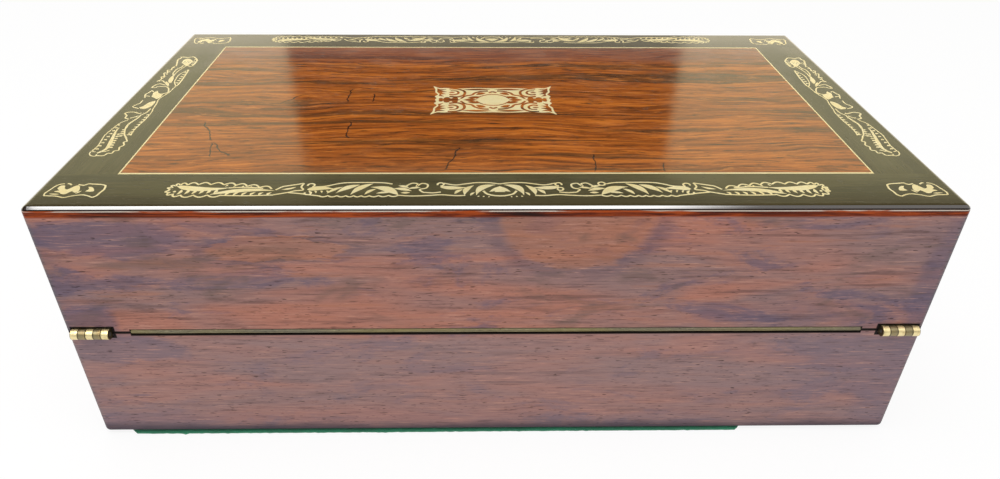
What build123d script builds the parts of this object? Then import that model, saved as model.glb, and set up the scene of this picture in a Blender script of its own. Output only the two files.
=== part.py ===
"""A folding writing slope: a brass-inlaid box cut on a diagonal seam, with two hinged writing flaps.

Millimetres, +Z up. X runs along the width, the hinges are on the -Y side and the lock is on the +Y side.
The origin is the middle of the baize that the box stands on. Everything is drawn closed.
"""
import os
from math import atan, cos, pi, sin, sqrt, tan

from build123d import *

os.makedirs("parts", exist_ok=True)

# ---- Driving dimensions of the box ----
box_width = 400.0
box_depth = 228.0
box_height = 134.0
lid_lock_depth = 33.0        # depth of the lid on the lock side, where the slope is highest
seam_gap = 0.3               # daylight between the two rims
wall = 10.0
bottom_thickness = 6.0
top_thickness = 7.0
veneer = 1.2
baize_thickness = 1.0
baize_inset = 3.0            # how far the baize stays inside the outline
corner_radius = 2.6
top_edge_radius = 2.5
bottom_edge_radius = 2.5
touch = 0.1                  # glue-line clearance round let-in pieces
loose = 0.5                  # clearance round pieces that lift out

# ---- Writing flaps ----
flap_thickness = 5.5
flap_sink = 0.15             # the flap boards lie this far under the rims
leather_thickness = 1.0
leather_sink = 0.15          # the leather lies this far under the flap's wooden margin
leather_margin = 29.5        # from the outside of the box to the leather, left and right
far_margin = 19.0            # bare wood at the lifting edge of each flap
flap_side_gap = 0.4
flap_end_gap = 0.5
flap_hinge_gap = 1.0
finger_notch_radius = 9.0
ledge_width = 6.0
ledge_height = 6.0
fold_depth = 1.6             # rebate in each hinge-side rim for the leather hinge
fold_inset = 0.5

# ---- Pen row along the lock side ----
pen_row_width = 44.0
divider_thickness = 4.0
well_width = 41.0
partition_thickness = 3.0
partition_drop = 2.0         # the well partitions stop this far under the rim
well_floor_thickness = 3.0
cap_below_rim = 8.8          # from the rim at the divider down to the bottle caps
tray_height = 14.0
tray_below_rim = 2.8         # from the rim at the divider down to the pen tray
tray_rim = 5.0
tray_scoop_depth = 11.0
tray_scoop_radius = 10.0
tray_corner_radius = 11.0
tray_end_flat = 24.0
bearer_width = 6.0
bearer_height = 6.0

# ---- Ink bottles ----
bottle_width = 36.0
bottle_body_height = 38.0
bottle_corner_radius = 5.0
bottle_shoulder = 4.0
neck_radius = 10.0
neck_height = 5.0
ink_bore_radius = 7.5
glass_floor = 8.0
cap_wall = 2.0
cap_clearance = 0.1
cap_bevel = 1.0

# ---- Butt hinges ----
hinge_length = 17.5
hinge_end_inset = 3.2        # from the side of the box to the end of the hinge
knuckle_count = 5
knuckle_radius = 2.5
knuckle_gap = 0.15
axis_proud = 1.2             # the hinge axis stands this far outside the face
mortice_clearance = 0.5
leaf_thickness = 1.4
leaf_width = 8.5
pin_radius = 1.0
pin_clearance = 0.05
screw_spacing = 12.0
screw_line = 5.6             # from the face of the box to the row of screws
screw_head_radius = 1.9
screw_head_height = 0.9
screw_shank_radius = 0.9
screw_length = 8.0
pilot_clearance = 0.05

# ---- Lock ----
lock_plate_length = 52.0
lock_plate_width = 8.6
lock_plate_thickness = 1.6
lock_case_length = 42.0
lock_case_depth = 6.5
lock_case_height = 24.0
lock_case_wall = 1.2
hook_spacing = 18.0
hook_length = 8.5
hook_width = 5.0
hook_thickness = 3.0
hook_clearance = 0.8
hook_notch_depth = 3.0
hook_notch_height = 3.5
hook_lip = 1.5
bolt_travel = 3.0
bolt_gap = 0.5
bolt_bar_height = 3.5
bolt_side_gap = 0.1
bolt_nose_height = 2.7
bolt_post_width = 2.5
bolt_slide_gap = 0.05
key_notch_radius = 2.6
key_height_below_rim = 18.5
key_pin_radius = 0.9
keyhole_radius = 2.3
keyhole_slot_width = 2.0
keyhole_slot_length = 6.5
escutcheon_rim = 1.8
escutcheon_thickness = 0.8
plate_screw_spacing = 47.0

# ---- Veneered top and its brass ----
border_width = 29.5          # from the outside of the box to the outside of the stringing
string_width = 1.2
inlay_depth = 0.5
inlay_line = 1.0             # width of the thin brass lines, and the gap between two motifs
band_height = 13.0
long_band_length = 293.0
side_band_length = 134.0
leaf_length = 54.0           # serrated leaf at each end of a long band
side_leaf_length = 44.0
leaf_teeth = 7
tooth_depth = 1.2
vein_width = 1.2
vein_share = 0.8             # part of the leaf's length that the open vein takes
bell_length = 7.0
scroll_count = 2
scroll_start = 31.0
scroll_pitch = 27.0
scroll_leaf_length = 25.0
scroll_leaf_width = 4.2
scroll_bend = 3.0
scroll_lean = 20.0
hugging_count = 2            # upright leaves at each side of the oval
hugging_pitch = 7.5
hugging_lean = 110.0
oval_length = 16.0
oval_height = 8.0
crown_length = 7.0
crown_height = 2.5
rosette_radius = 5.5
rosette_petals = 8
corner_x = 183.0             # middle of a corner ornament
corner_length = 27.0
corner_height = 11.5
centre_length = 68.0
centre_height = 36.0
centre_corner_leaf = 6.0     # pointed leaf at each corner of the centre ornament
centre_scroll_length = 10.5
centre_scroll_width = 3.8
wedge_start = 8.5
wedge_length = 8.5
wedge_height = 7.0
cartouche_length = 26.0
cartouche_height = 12.0

# ---- Worked out from the dimensions above ----
half_width = box_width / 2
half_depth = box_depth / 2
inner_width = box_width - 2 * wall
inner_hinge_y = -half_depth + wall
inner_lock_y = half_depth - wall
hinge_seam_height = box_height / 2       # half the height, so that the opened lid lies level on the table
seam_rise = box_height - lid_lock_depth - hinge_seam_height
seam_angle = atan(seam_rise / box_depth)
rim_drop = seam_gap / 2
seam = Plane(
    origin=(0, -half_depth, hinge_seam_height),
    x_dir=(1, 0, 0),
    z_dir=(0, -sin(seam_angle), cos(seam_angle)),
)
base_rim = seam.offset(-rim_drop)
lid_rim = seam.offset(rim_drop)
veneer_bottom = box_height - veneer
top_bottom = veneer_bottom - top_thickness
floor_top = baize_thickness + bottom_thickness


def seam_z(y, rise=0.0):
    """Height of a line parallel to the seam, a distance rise above it square to the seam."""
    return hinge_seam_height + (y + half_depth) * tan(seam_angle) + rise / cos(seam_angle)


def along_seam(y):
    """Distance along the seam, from the hinge side, of the point of the seam at this y."""
    return (y + half_depth) / cos(seam_angle)


def sloped_band(y_start, y_end, low, high):
    """The corners of a board that lies along the seam between two upright faces, in the YZ plane."""
    return [
        (y_start, seam_z(y_start, low)),
        (y_end, seam_z(y_end, low)),
        (y_end, seam_z(y_end, high)),
        (y_start, seam_z(y_start, high)),
    ]


def finish(piece, name):
    """Label a finished piece and write its file."""
    piece.part.label = name
    export_step(piece.part, f"parts/{name}.step")


# ---- The outside form of the closed box, which trims the outer pieces ----
with BuildPart() as outer_form:
    with BuildSketch(Plane.XY.offset(baize_thickness)):
        Rectangle(box_width, box_depth)
    extrude(amount=box_height - baize_thickness)
    fillet(outer_form.edges().filter_by(Axis.Z), corner_radius)
    fillet(outer_form.faces().sort_by(Axis.Z)[-1].edges(), top_edge_radius)
    fillet(outer_form.faces().sort_by(Axis.Z)[0].edges(), bottom_edge_radius)

# ---- Hinge places, shared by the leaves, pins, screws and mortices ----
axis_y = -half_depth - axis_proud
hinge_centre_x = half_width - hinge_end_inset - hinge_length / 2
hinge_sides = {"left": -hinge_centre_x, "right": hinge_centre_x}
knuckle_pitch = hinge_length / knuckle_count
leaf_centre = (leaf_width - axis_proud) / 2
leaf_span = leaf_width + axis_proud


def hinge_axis_plane(x):
    """A plane square to the hinge axis at this x."""
    return Plane(origin=(x, axis_y, hinge_seam_height), x_dir=(0, 1, 0), z_dir=(1, 0, 0))


with BuildPart() as barrel_room:
    for hinge_x in hinge_sides.values():
        with BuildSketch(hinge_axis_plane(hinge_x)):
            Circle(knuckle_radius + mortice_clearance)
        extrude(amount=hinge_length / 2 + mortice_clearance, both=True)

with BuildPart() as base_leaf_room:
    with BuildSketch(base_rim):
        with Locations(*[(x, leaf_centre) for x in hinge_sides.values()]):
            Rectangle(hinge_length + 2 * touch, leaf_span + 2 * touch)
    extrude(amount=-leaf_thickness)

with BuildPart() as lid_leaf_room:
    with BuildSketch(lid_rim):
        with Locations(*[(x, leaf_centre) for x in hinge_sides.values()]):
            Rectangle(hinge_length + 2 * touch, leaf_span + 2 * touch)
    extrude(amount=leaf_thickness)

screw_places = [
    (x + offset, screw_line)
    for x in hinge_sides.values()
    for offset in (-screw_spacing / 2, screw_spacing / 2)
]


def screw_profile(clearance):
    """Half section of a countersunk screw, head face at the origin, running down -Z."""
    return [
        (0, 0),
        (screw_head_radius + clearance, 0),
        (screw_shank_radius + clearance, -screw_head_height),
        (screw_shank_radius + clearance, -screw_length),
        (0, -screw_length),
    ]


def screw(clearance):
    """A countersunk screw, or the hole for one, as a solid by itself."""
    with BuildPart(mode=Mode.PRIVATE) as one_screw:
        with BuildSketch(Plane.XZ):
            with BuildLine():
                Polyline(*screw_profile(clearance), close=True)
            make_face()
        revolve(axis=Axis.Z)
    return one_screw.part


screw_solid = screw(0.0)
screw_hole = screw(pilot_clearance)
lid_rim_from_below = Plane(origin=lid_rim.origin, x_dir=(1, 0, 0), z_dir=-lid_rim.z_dir)


def placed(solid, plane, places):
    """Copies of a solid standing on a plane at these places, as one compound."""
    return Compound([plane * Pos(x, y, 0) * solid for x, y in places])


# ---- Lock places, shared by the lock, the link plate, the bolt and the walls they are let into ----
lock_y = inner_lock_y + lock_case_depth / 2
lock_rim_z = seam_z(lock_y)
plate_y = inner_lock_y + lock_plate_width / 2
key_z = lock_rim_z - key_height_below_rim
hook_centres = (-hook_spacing / 2, hook_spacing / 2)
screw_places += [
    (x, along_seam(plate_y)) for x in (-plate_screw_spacing / 2, plate_screw_spacing / 2)
]
mirrored_places = [(x, -y) for x, y in screw_places]
base_screws = placed(screw_solid, base_rim, screw_places)
base_screw_holes = placed(screw_hole, base_rim, screw_places)
lid_screws = placed(screw_solid, lid_rim_from_below, mirrored_places)
lid_screw_holes = placed(screw_hole, lid_rim_from_below, mirrored_places)


def lock_plate_outline(clearance, low, high):
    """Section of the let-in plate of the lock or link, along the rim, in the YZ plane."""
    y_end = inner_lock_y + lock_plate_width + clearance
    return sloped_band(inner_lock_y, y_end, low, high)


def keyhole_outline(margin):
    """The keyhole, or the same shape grown by a margin."""
    Circle(keyhole_radius + margin)
    with Locations((0, -(keyhole_radius + keyhole_slot_length) / 2)):
        Rectangle(keyhole_slot_width + 2 * margin, keyhole_radius + keyhole_slot_length + 2 * margin)


keyhole_plane = Plane(origin=(0, half_depth, key_z), x_dir=(-1, 0, 0), z_dir=(0, 1, 0))

# ---- Base: bottom and baize ----
with BuildPart() as baize_underside:
    with BuildSketch():
        RectangleRounded(box_width - 2 * baize_inset, box_depth - 2 * baize_inset, corner_radius)
    extrude(amount=baize_thickness)
finish(baize_underside, "baize_underside")

with BuildPart() as base_bottom:
    with BuildSketch(Plane.XY.offset(baize_thickness)):
        Rectangle(inner_width, box_depth - 2 * wall)
    extrude(amount=bottom_thickness)
finish(base_bottom, "base_bottom")

# ---- Base: the four walls, lower on the hinge side ----
with BuildPart() as base_hinge_wall:
    with BuildSketch():
        with Locations((0, -half_depth + wall / 2)):
            Rectangle(box_width, wall)
    extrude(amount=box_height)
    add(outer_form.part, mode=Mode.INTERSECT)
    split(bisect_by=base_rim, keep=Keep.BOTTOM)
    with BuildSketch(base_rim):
        with Locations((0, wall / 2)):
            Rectangle(box_width - 2 * leather_margin, 2 * wall)
    extrude(amount=-(fold_depth - rim_drop), mode=Mode.SUBTRACT)
    add(base_leaf_room.part, mode=Mode.SUBTRACT)
    add(barrel_room.part, mode=Mode.SUBTRACT)
    add(base_screw_holes, mode=Mode.SUBTRACT)
finish(base_hinge_wall, "base_hinge_wall")

with BuildPart() as base_lock_wall:
    with BuildSketch():
        with Locations((0, half_depth - wall / 2)):
            Rectangle(box_width, wall)
    extrude(amount=box_height)
    add(outer_form.part, mode=Mode.INTERSECT)
    split(bisect_by=base_rim, keep=Keep.BOTTOM)
    with BuildSketch(Plane.XZ.offset(-inner_lock_y)):
        with Locations((0, lock_rim_z - (lock_case_height + touch) / 2)):
            Rectangle(lock_case_length + 2 * touch, lock_case_height + touch)
    extrude(amount=-(lock_case_depth + touch), mode=Mode.SUBTRACT)
    with BuildSketch(Plane.YZ):
        with BuildLine():
            Polyline(*lock_plate_outline(touch, -rim_drop - lock_plate_thickness, wall), close=True)
        make_face()
    extrude(amount=lock_plate_length / 2 + touch, both=True, mode=Mode.SUBTRACT)
    with BuildSketch(keyhole_plane):
        keyhole_outline(0.0)
    extrude(amount=-wall, mode=Mode.SUBTRACT)
    with BuildSketch(keyhole_plane):
        keyhole_outline(escutcheon_rim)
    extrude(amount=-escutcheon_thickness, mode=Mode.SUBTRACT)
    add(base_screw_holes, mode=Mode.SUBTRACT)
finish(base_lock_wall, "base_lock_wall")

for side, sign in (("left", -1), ("right", 1)):
    with BuildPart() as base_side_wall:
        with BuildSketch():
            with Locations((sign * (half_width - wall / 2), 0)):
                Rectangle(wall, box_depth - 2 * wall)
        extrude(amount=box_height)
        add(outer_form.part, mode=Mode.INTERSECT)
        split(bisect_by=base_rim, keep=Keep.BOTTOM)
    finish(base_side_wall, f"base_{side}_wall")

# ---- Base: the pen row and what carries the upper flap ----
divider_y = inner_lock_y - pen_row_width - divider_thickness
pen_row_y = inner_lock_y - pen_row_width / 2
pen_row_rim = seam_z(divider_y + divider_thickness, -rim_drop)
tray_bottom_height = pen_row_rim - tray_below_rim - tray_height
bottle_top = pen_row_rim - cap_below_rim - cap_wall
bottle_shoulder_z = bottle_top - neck_height
bottle_bottom = bottle_shoulder_z - bottle_body_height
well_floor_height = bottle_bottom - well_floor_thickness
flap_bottom = rim_drop + flap_sink + flap_thickness

with BuildPart() as tray_divider:
    with BuildSketch():
        with Locations((0, divider_y + divider_thickness / 2)):
            Rectangle(inner_width, divider_thickness)
    extrude(amount=box_height)
    split(bisect_by=Plane.XY.offset(floor_top), keep=Keep.TOP)
    split(bisect_by=base_rim, keep=Keep.BOTTOM)
finish(tray_divider, "tray_divider")

for side, sign in (("left", -1), ("right", 1)):
    with BuildPart() as base_ledge:
        with BuildSketch(Plane.YZ.offset(sign * (inner_width / 2 - ledge_width / 2))):
            with BuildLine():
                Polyline(
                    *sloped_band(inner_hinge_y, divider_y, -flap_bottom - ledge_height, -flap_bottom),
                    close=True,
                )
            make_face()
        extrude(amount=ledge_width / 2, both=True)
    finish(base_ledge, f"base_ledge_{side}")

with BuildPart() as upper_flap_rest:
    with BuildSketch(Plane.YZ):
        with BuildLine():
            Polyline(
                *sloped_band(divider_y - ledge_width, divider_y, -flap_bottom - ledge_height, -flap_bottom),
                close=True,
            )
        make_face()
    extrude(amount=inner_width / 2 - ledge_width, both=True)
finish(upper_flap_rest, "upper_flap_rest")

partition_x = inner_width / 2 - well_width - partition_thickness / 2
tray_end_x = partition_x - partition_thickness / 2
well_x = inner_width / 2 - well_width / 2
for side, sign in (("left", -1), ("right", 1)):
    with BuildPart() as well_partition:
        with BuildSketch(Plane.XY.offset(floor_top)):
            with Locations((sign * partition_x, pen_row_y)):
                Rectangle(partition_thickness, pen_row_width)
        extrude(amount=box_height)
        split(bisect_by=base_rim.offset(-partition_drop), keep=Keep.BOTTOM)
    finish(well_partition, f"well_partition_{side}")

    with BuildPart() as well_floor:
        with BuildSketch(Plane.XY.offset(well_floor_height)):
            with Locations((sign * well_x, pen_row_y)):
                Rectangle(well_width, pen_row_width)
        extrude(amount=well_floor_thickness)
    finish(well_floor, f"well_floor_{side}")

    with BuildPart() as tray_bearer:
        with BuildSketch(Plane.XY.offset(tray_bottom_height - bearer_height)):
            with Locations((sign * (tray_end_x - bearer_width / 2), pen_row_y)):
                Rectangle(bearer_width, pen_row_width)
        extrude(amount=bearer_height)
    finish(tray_bearer, f"tray_bearer_{side}")

# ---- Base: pen tray with a scooped trough ----
tray_length = 2 * (tray_end_x - loose)
tray_width = pen_row_width - 2 * loose
with BuildPart() as pen_tray:
    with BuildSketch(Plane.XY.offset(tray_bottom_height)):
        with Locations((0, pen_row_y)):
            Rectangle(tray_length, tray_width)
    extrude(amount=tray_height)
    with BuildSketch(Plane.XY.offset(tray_bottom_height + tray_height)):
        with Locations((0, pen_row_y)):
            RectangleRounded(tray_length - 2 * tray_end_flat, tray_width - 2 * tray_rim, tray_corner_radius)
    extrude(amount=-tray_scoop_depth, mode=Mode.SUBTRACT)
    scoop_floor = pen_tray.faces().filter_by(Axis.Z).sort_by(Axis.Z)[1]
    fillet(scoop_floor.edges(), tray_scoop_radius)
finish(pen_tray, "pen_tray")

# ---- Base: ink bottles with brass caps ----
cap_radius = neck_radius + cap_clearance + cap_wall
for side, sign in (("left", -1), ("right", 1)):
    with BuildPart() as ink_bottle:
        with BuildSketch(Plane.XY.offset(bottle_bottom)):
            with Locations((sign * well_x, pen_row_y)):
                RectangleRounded(bottle_width, bottle_width, bottle_corner_radius)
        extrude(amount=bottle_body_height)
        chamfer(ink_bottle.faces().sort_by(Axis.Z)[-1].edges(), bottle_shoulder)
        with BuildSketch(Plane.XY.offset(bottle_shoulder_z)):
            with Locations((sign * well_x, pen_row_y)):
                Circle(neck_radius)
        extrude(amount=neck_height)
        with BuildSketch(Plane.XY.offset(bottle_top)):
            with Locations((sign * well_x, pen_row_y)):
                Circle(ink_bore_radius)
        extrude(amount=-(bottle_top - bottle_bottom - glass_floor), mode=Mode.SUBTRACT)
    finish(ink_bottle, f"ink_bottle_{side}")

    with BuildPart() as ink_cap:
        with BuildSketch(Plane.XY.offset(bottle_top + cap_wall)):
            with Locations((sign * well_x, pen_row_y)):
                Circle(cap_radius)
        extrude(amount=-(neck_height - touch + cap_wall))
        with BuildSketch(Plane.XY.offset(bottle_top)):
            with Locations((sign * well_x, pen_row_y)):
                Circle(neck_radius + cap_clearance)
        extrude(amount=-neck_height, mode=Mode.SUBTRACT)
        chamfer(ink_cap.edges().sort_by(Axis.Z)[-1], cap_bevel)
    finish(ink_cap, f"ink_cap_{side}")

# ---- Base: box lock ----
plate_bottom = rim_drop + lock_plate_thickness
case_low = lock_rim_z - lock_case_height
cavity_half = lock_case_length / 2 - lock_case_wall
hook_tip = lock_rim_z - hook_length - rim_drop
bolt_bar_top = hook_tip - bolt_gap - hook_lip
bolt_bar_bottom = bolt_bar_top - bolt_bar_height
cavity_depth = lock_case_depth - 2 * lock_case_wall
with BuildPart() as lock_case:
    with BuildSketch(Plane.XZ.offset(-inner_lock_y)):
        with Locations((0, case_low + lock_case_height / 2)):
            Rectangle(lock_case_length, lock_case_height)
    extrude(amount=-lock_case_depth)
    with BuildSketch(Plane.YZ):
        with BuildLine():
            Polyline(*lock_plate_outline(0.0, -plate_bottom, wall), close=True)
        make_face()
    extrude(amount=lock_plate_length / 2, both=True)
    split(bisect_by=base_rim, keep=Keep.BOTTOM)
    with BuildSketch(Plane.XZ.offset(-(lock_y + cavity_depth / 2))):
        with Locations((0, (case_low + lock_case_wall + lock_rim_z - 2 * plate_bottom) / 2)):
            Rectangle(2 * cavity_half, lock_rim_z - 2 * plate_bottom - case_low - lock_case_wall)
    extrude(amount=cavity_depth, mode=Mode.SUBTRACT)
    with BuildSketch(Plane.XY.offset(case_low + 2 * lock_case_wall)):
        with Locations(*[(x, lock_y) for x in hook_centres]):
            Rectangle(hook_width + 2 * hook_clearance, hook_thickness + hook_clearance)
    extrude(amount=lock_case_height, mode=Mode.SUBTRACT)
    for sign in (-1, 1):
        rail_x = sign * (cavity_half - bolt_post_width)
        with BuildSketch(Plane.XY.offset(case_low + lock_case_wall)):
            with Locations((rail_x, lock_y)):
                Rectangle(2 * bolt_post_width, cavity_depth)
        extrude(amount=bolt_bar_bottom - bolt_slide_gap - case_low - lock_case_wall)
    with BuildSketch(keyhole_plane):
        keyhole_outline(0.0)
    extrude(amount=-(half_depth - inner_lock_y - lock_case_wall), mode=Mode.SUBTRACT)
    with BuildSketch(Plane.XZ.offset(-inner_lock_y)):
        with Locations((0, key_z)):
            Circle(key_pin_radius)
    extrude(amount=-lock_case_depth)
    add(base_screw_holes, mode=Mode.SUBTRACT)
finish(lock_case, "lock_case")

with BuildPart() as lock_bolt:
    bar_start = hook_centres[0] - hook_width / 2
    finger_start = hook_width / 2 + bolt_gap
    post_start = finger_start + bolt_travel
    bar_end = hook_centres[1] + post_start + bolt_post_width
    bolt_depth = cavity_depth - 2 * bolt_side_gap
    notch_top = hook_tip + hook_lip + hook_notch_height
    nose_top = notch_top - (hook_notch_height - bolt_nose_height) / 2
    with BuildSketch(Plane.XZ.offset(-(lock_y + bolt_depth / 2))):
        with BuildLine():
            Polyline(
                (bar_start, bolt_bar_bottom),
                (bar_end, bolt_bar_bottom),
                (bar_end, bolt_bar_top),
                (bar_start, bolt_bar_top),
                close=True,
            )
        make_face()
        for hook_x in hook_centres:
            with BuildLine():
                Polyline(
                    (hook_x + post_start, bolt_bar_bottom),
                    (hook_x + post_start + bolt_post_width, bolt_bar_bottom),
                    (hook_x + post_start + bolt_post_width, nose_top),
                    (hook_x + finger_start, nose_top),
                    (hook_x + finger_start, nose_top - bolt_nose_height),
                    (hook_x + post_start, nose_top - bolt_nose_height),
                    close=True,
                )
            make_face()
        with Locations((0, bolt_bar_bottom)):
            Circle(key_notch_radius, mode=Mode.SUBTRACT)
    extrude(amount=bolt_depth)
finish(lock_bolt, "lock_bolt")

with BuildPart() as keyhole_escutcheon:
    with BuildSketch(keyhole_plane):
        keyhole_outline(escutcheon_rim)
    extrude(amount=-escutcheon_thickness)
    with BuildSketch(keyhole_plane):
        keyhole_outline(0.0)
    extrude(amount=-escutcheon_thickness, mode=Mode.SUBTRACT)
finish(keyhole_escutcheon, "keyhole_escutcheon")

# ---- Hinges: leaves with alternate knuckles, and their pins ----
notch_reach = knuckle_radius + mortice_clearance     # from the axis to the back of a notch in a leaf
for side, hinge_x in hinge_sides.items():
    first_knuckle = hinge_x - hinge_length / 2 + knuckle_pitch / 2
    knuckle_x = [first_knuckle + i * knuckle_pitch for i in range(knuckle_count)]
    for owner, rim, direction, own, other in (
        ("base", base_rim, -1, knuckle_x[0::2], knuckle_x[1::2]),
        ("lid", lid_rim, 1, knuckle_x[1::2], knuckle_x[0::2]),
    ):
        with BuildPart() as hinge_leaf:
            with BuildSketch(rim):
                with Locations((hinge_x, leaf_centre)):
                    Rectangle(hinge_length, leaf_span)
            extrude(amount=direction * leaf_thickness)
            with BuildSketch(rim):
                with Locations(*[(x, notch_reach / 2 - axis_proud) for x in other]):
                    Rectangle(knuckle_pitch + knuckle_gap, notch_reach)
            extrude(amount=direction * leaf_thickness, mode=Mode.SUBTRACT)
            for x in own:
                with BuildSketch(hinge_axis_plane(x)):
                    Circle(knuckle_radius)
                extrude(amount=(knuckle_pitch - knuckle_gap) / 2, both=True)
            with BuildSketch(hinge_axis_plane(hinge_x)):
                Circle(pin_radius + pin_clearance)
            extrude(amount=hinge_length, both=True, mode=Mode.SUBTRACT)
            add(base_screw_holes if owner == "base" else lid_screw_holes, mode=Mode.SUBTRACT)
        finish(hinge_leaf, f"hinge_{owner}_leaf_{side}")

    with BuildPart() as hinge_pin:
        with BuildSketch(hinge_axis_plane(hinge_x)):
            Circle(pin_radius)
        extrude(amount=(hinge_length - knuckle_gap) / 2, both=True)
    finish(hinge_pin, f"hinge_pin_{side}")

for owner, screws in (("base", base_screws), ("lid", lid_screws)):
    with BuildPart() as screw_group:
        add(screws)
    finish(screw_group, f"{owner}_screws")

# ---- Leather that folds in the seam between the hinges ----
leather_half = half_width - leather_margin
for owner, low, high in (("base", -fold_depth, -rim_drop), ("lid", rim_drop, fold_depth)):
    with BuildPart() as leather_fold:
        with BuildSketch(Plane.YZ):
            with BuildLine():
                Polyline(
                    *sloped_band(-half_depth + fold_inset, inner_hinge_y - fold_inset, low, high),
                    close=True,
                )
            make_face()
        extrude(amount=leather_half - touch, both=True)
    finish(leather_fold, f"leather_fold_{owner}")

# ---- Writing flaps: a board with a finger notch, and leather let into it ----
flap_half_width = inner_width / 2 - flap_side_gap
flap_top = rim_drop + flap_sink
leather_top = flap_top + leather_sink
leather_low = leather_top + leather_thickness
upper_start = inner_hinge_y + flap_hinge_gap
upper_end = divider_y - flap_end_gap
lower_start = along_seam(inner_hinge_y) + flap_hinge_gap + flap_end_gap
lower_end = along_seam(inner_lock_y) - flap_end_gap

with BuildPart() as upper_flap_board:
    with BuildSketch(Plane.YZ):
        with BuildLine():
            Polyline(*sloped_band(upper_start, upper_end, -flap_bottom, -flap_top), close=True)
        make_face()
    extrude(amount=flap_half_width, both=True)
    with BuildSketch(Plane.YZ):
        with BuildLine():
            Polyline(
                *sloped_band(upper_start - flap_end_gap, upper_end - far_margin, -leather_low, 0.0),
                close=True,
            )
        make_face()
    extrude(amount=leather_half, both=True, mode=Mode.SUBTRACT)
    with BuildSketch(seam.offset(-2 * flap_bottom)):
        with Locations((0, along_seam(upper_end))):
            Circle(finger_notch_radius)
    extrude(amount=3 * flap_bottom, mode=Mode.SUBTRACT)
finish(upper_flap_board, "upper_flap_board")

with BuildPart() as upper_flap_leather:
    with BuildSketch(Plane.YZ):
        with BuildLine():
            Polyline(
                *sloped_band(upper_start, upper_end - far_margin - touch, -leather_low, -leather_top),
                close=True,
            )
        make_face()
    extrude(amount=leather_half - touch, both=True)
finish(upper_flap_leather, "upper_flap_leather")

lower_middle = (lower_start + lower_end) / 2
lower_length = lower_end - lower_start
leather_length = lower_length - far_margin
with BuildPart() as lower_flap_board:
    with BuildSketch(seam.offset(flap_top)):
        with Locations((0, lower_middle)):
            Rectangle(2 * flap_half_width, lower_length)
    extrude(amount=flap_thickness)
    with BuildSketch(seam.offset(flap_top)):
        with Locations((0, lower_start + leather_length / 2)):
            Rectangle(2 * leather_half, leather_length)
    extrude(amount=leather_sink + leather_thickness, mode=Mode.SUBTRACT)
    with BuildSketch(seam):
        with Locations((0, lower_end)):
            Circle(finger_notch_radius)
    extrude(amount=2 * flap_bottom, mode=Mode.SUBTRACT)
finish(lower_flap_board, "lower_flap_board")

with BuildPart() as lower_flap_leather:
    with BuildSketch(seam.offset(leather_top)):
        with Locations((0, lower_start + (leather_length - touch) / 2)):
            Rectangle(2 * (leather_half - touch), leather_length - touch)
    extrude(amount=leather_thickness)
finish(lower_flap_leather, "lower_flap_leather")

# ---- Lid: top board and four walls, deeper on the hinge side ----
with BuildPart() as lid_top_board:
    with BuildSketch(Plane.XY.offset(top_bottom)):
        Rectangle(inner_width, box_depth - 2 * wall)
    extrude(amount=top_thickness)
finish(lid_top_board, "lid_top_board")

with BuildPart() as lid_hinge_wall:
    with BuildSketch():
        with Locations((0, -half_depth + wall / 2)):
            Rectangle(box_width, wall)
    extrude(amount=veneer_bottom)
    add(outer_form.part, mode=Mode.INTERSECT)
    split(bisect_by=lid_rim, keep=Keep.TOP)
    with BuildSketch(lid_rim):
        with Locations((0, wall / 2)):
            Rectangle(box_width - 2 * leather_margin, 2 * wall)
    extrude(amount=fold_depth - rim_drop, mode=Mode.SUBTRACT)
    add(lid_leaf_room.part, mode=Mode.SUBTRACT)
    add(barrel_room.part, mode=Mode.SUBTRACT)
    add(lid_screw_holes, mode=Mode.SUBTRACT)
finish(lid_hinge_wall, "lid_hinge_wall")

with BuildPart() as lid_lock_wall:
    with BuildSketch():
        with Locations((0, half_depth - wall / 2)):
            Rectangle(box_width, wall)
    extrude(amount=veneer_bottom)
    add(outer_form.part, mode=Mode.INTERSECT)
    split(bisect_by=lid_rim, keep=Keep.TOP)
    with BuildSketch(Plane.YZ):
        with BuildLine():
            Polyline(*lock_plate_outline(touch, 0.0, rim_drop + lock_plate_thickness), close=True)
        make_face()
    extrude(amount=lock_plate_length / 2 + touch, both=True, mode=Mode.SUBTRACT)
    add(lid_screw_holes, mode=Mode.SUBTRACT)
finish(lid_lock_wall, "lid_lock_wall")

for side, sign in (("left", -1), ("right", 1)):
    with BuildPart() as lid_side_wall:
        with BuildSketch():
            with Locations((sign * (half_width - wall / 2), 0)):
                Rectangle(wall, box_depth - 2 * wall)
        extrude(amount=veneer_bottom)
        add(outer_form.part, mode=Mode.INTERSECT)
        split(bisect_by=lid_rim, keep=Keep.TOP)
    finish(lid_side_wall, f"lid_{side}_wall")

    with BuildPart() as lid_ledge:
        with BuildSketch(Plane.YZ.offset(sign * (inner_width / 2 - ledge_width / 2))):
            with BuildLine():
                Polyline(
                    *sloped_band(inner_hinge_y, inner_lock_y, flap_bottom, flap_bottom + ledge_height),
                    close=True,
                )
            make_face()
        extrude(amount=ledge_width / 2, both=True)
    finish(lid_ledge, f"lid_ledge_{side}")

with BuildPart() as lower_flap_rest:
    with BuildSketch(Plane.YZ):
        with BuildLine():
            Polyline(
                *sloped_band(inner_lock_y - ledge_width, inner_lock_y, flap_bottom, flap_bottom + ledge_height),
                close=True,
            )
        make_face()
    extrude(amount=inner_width / 2 - ledge_width, both=True)
finish(lower_flap_rest, "lower_flap_rest")

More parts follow.
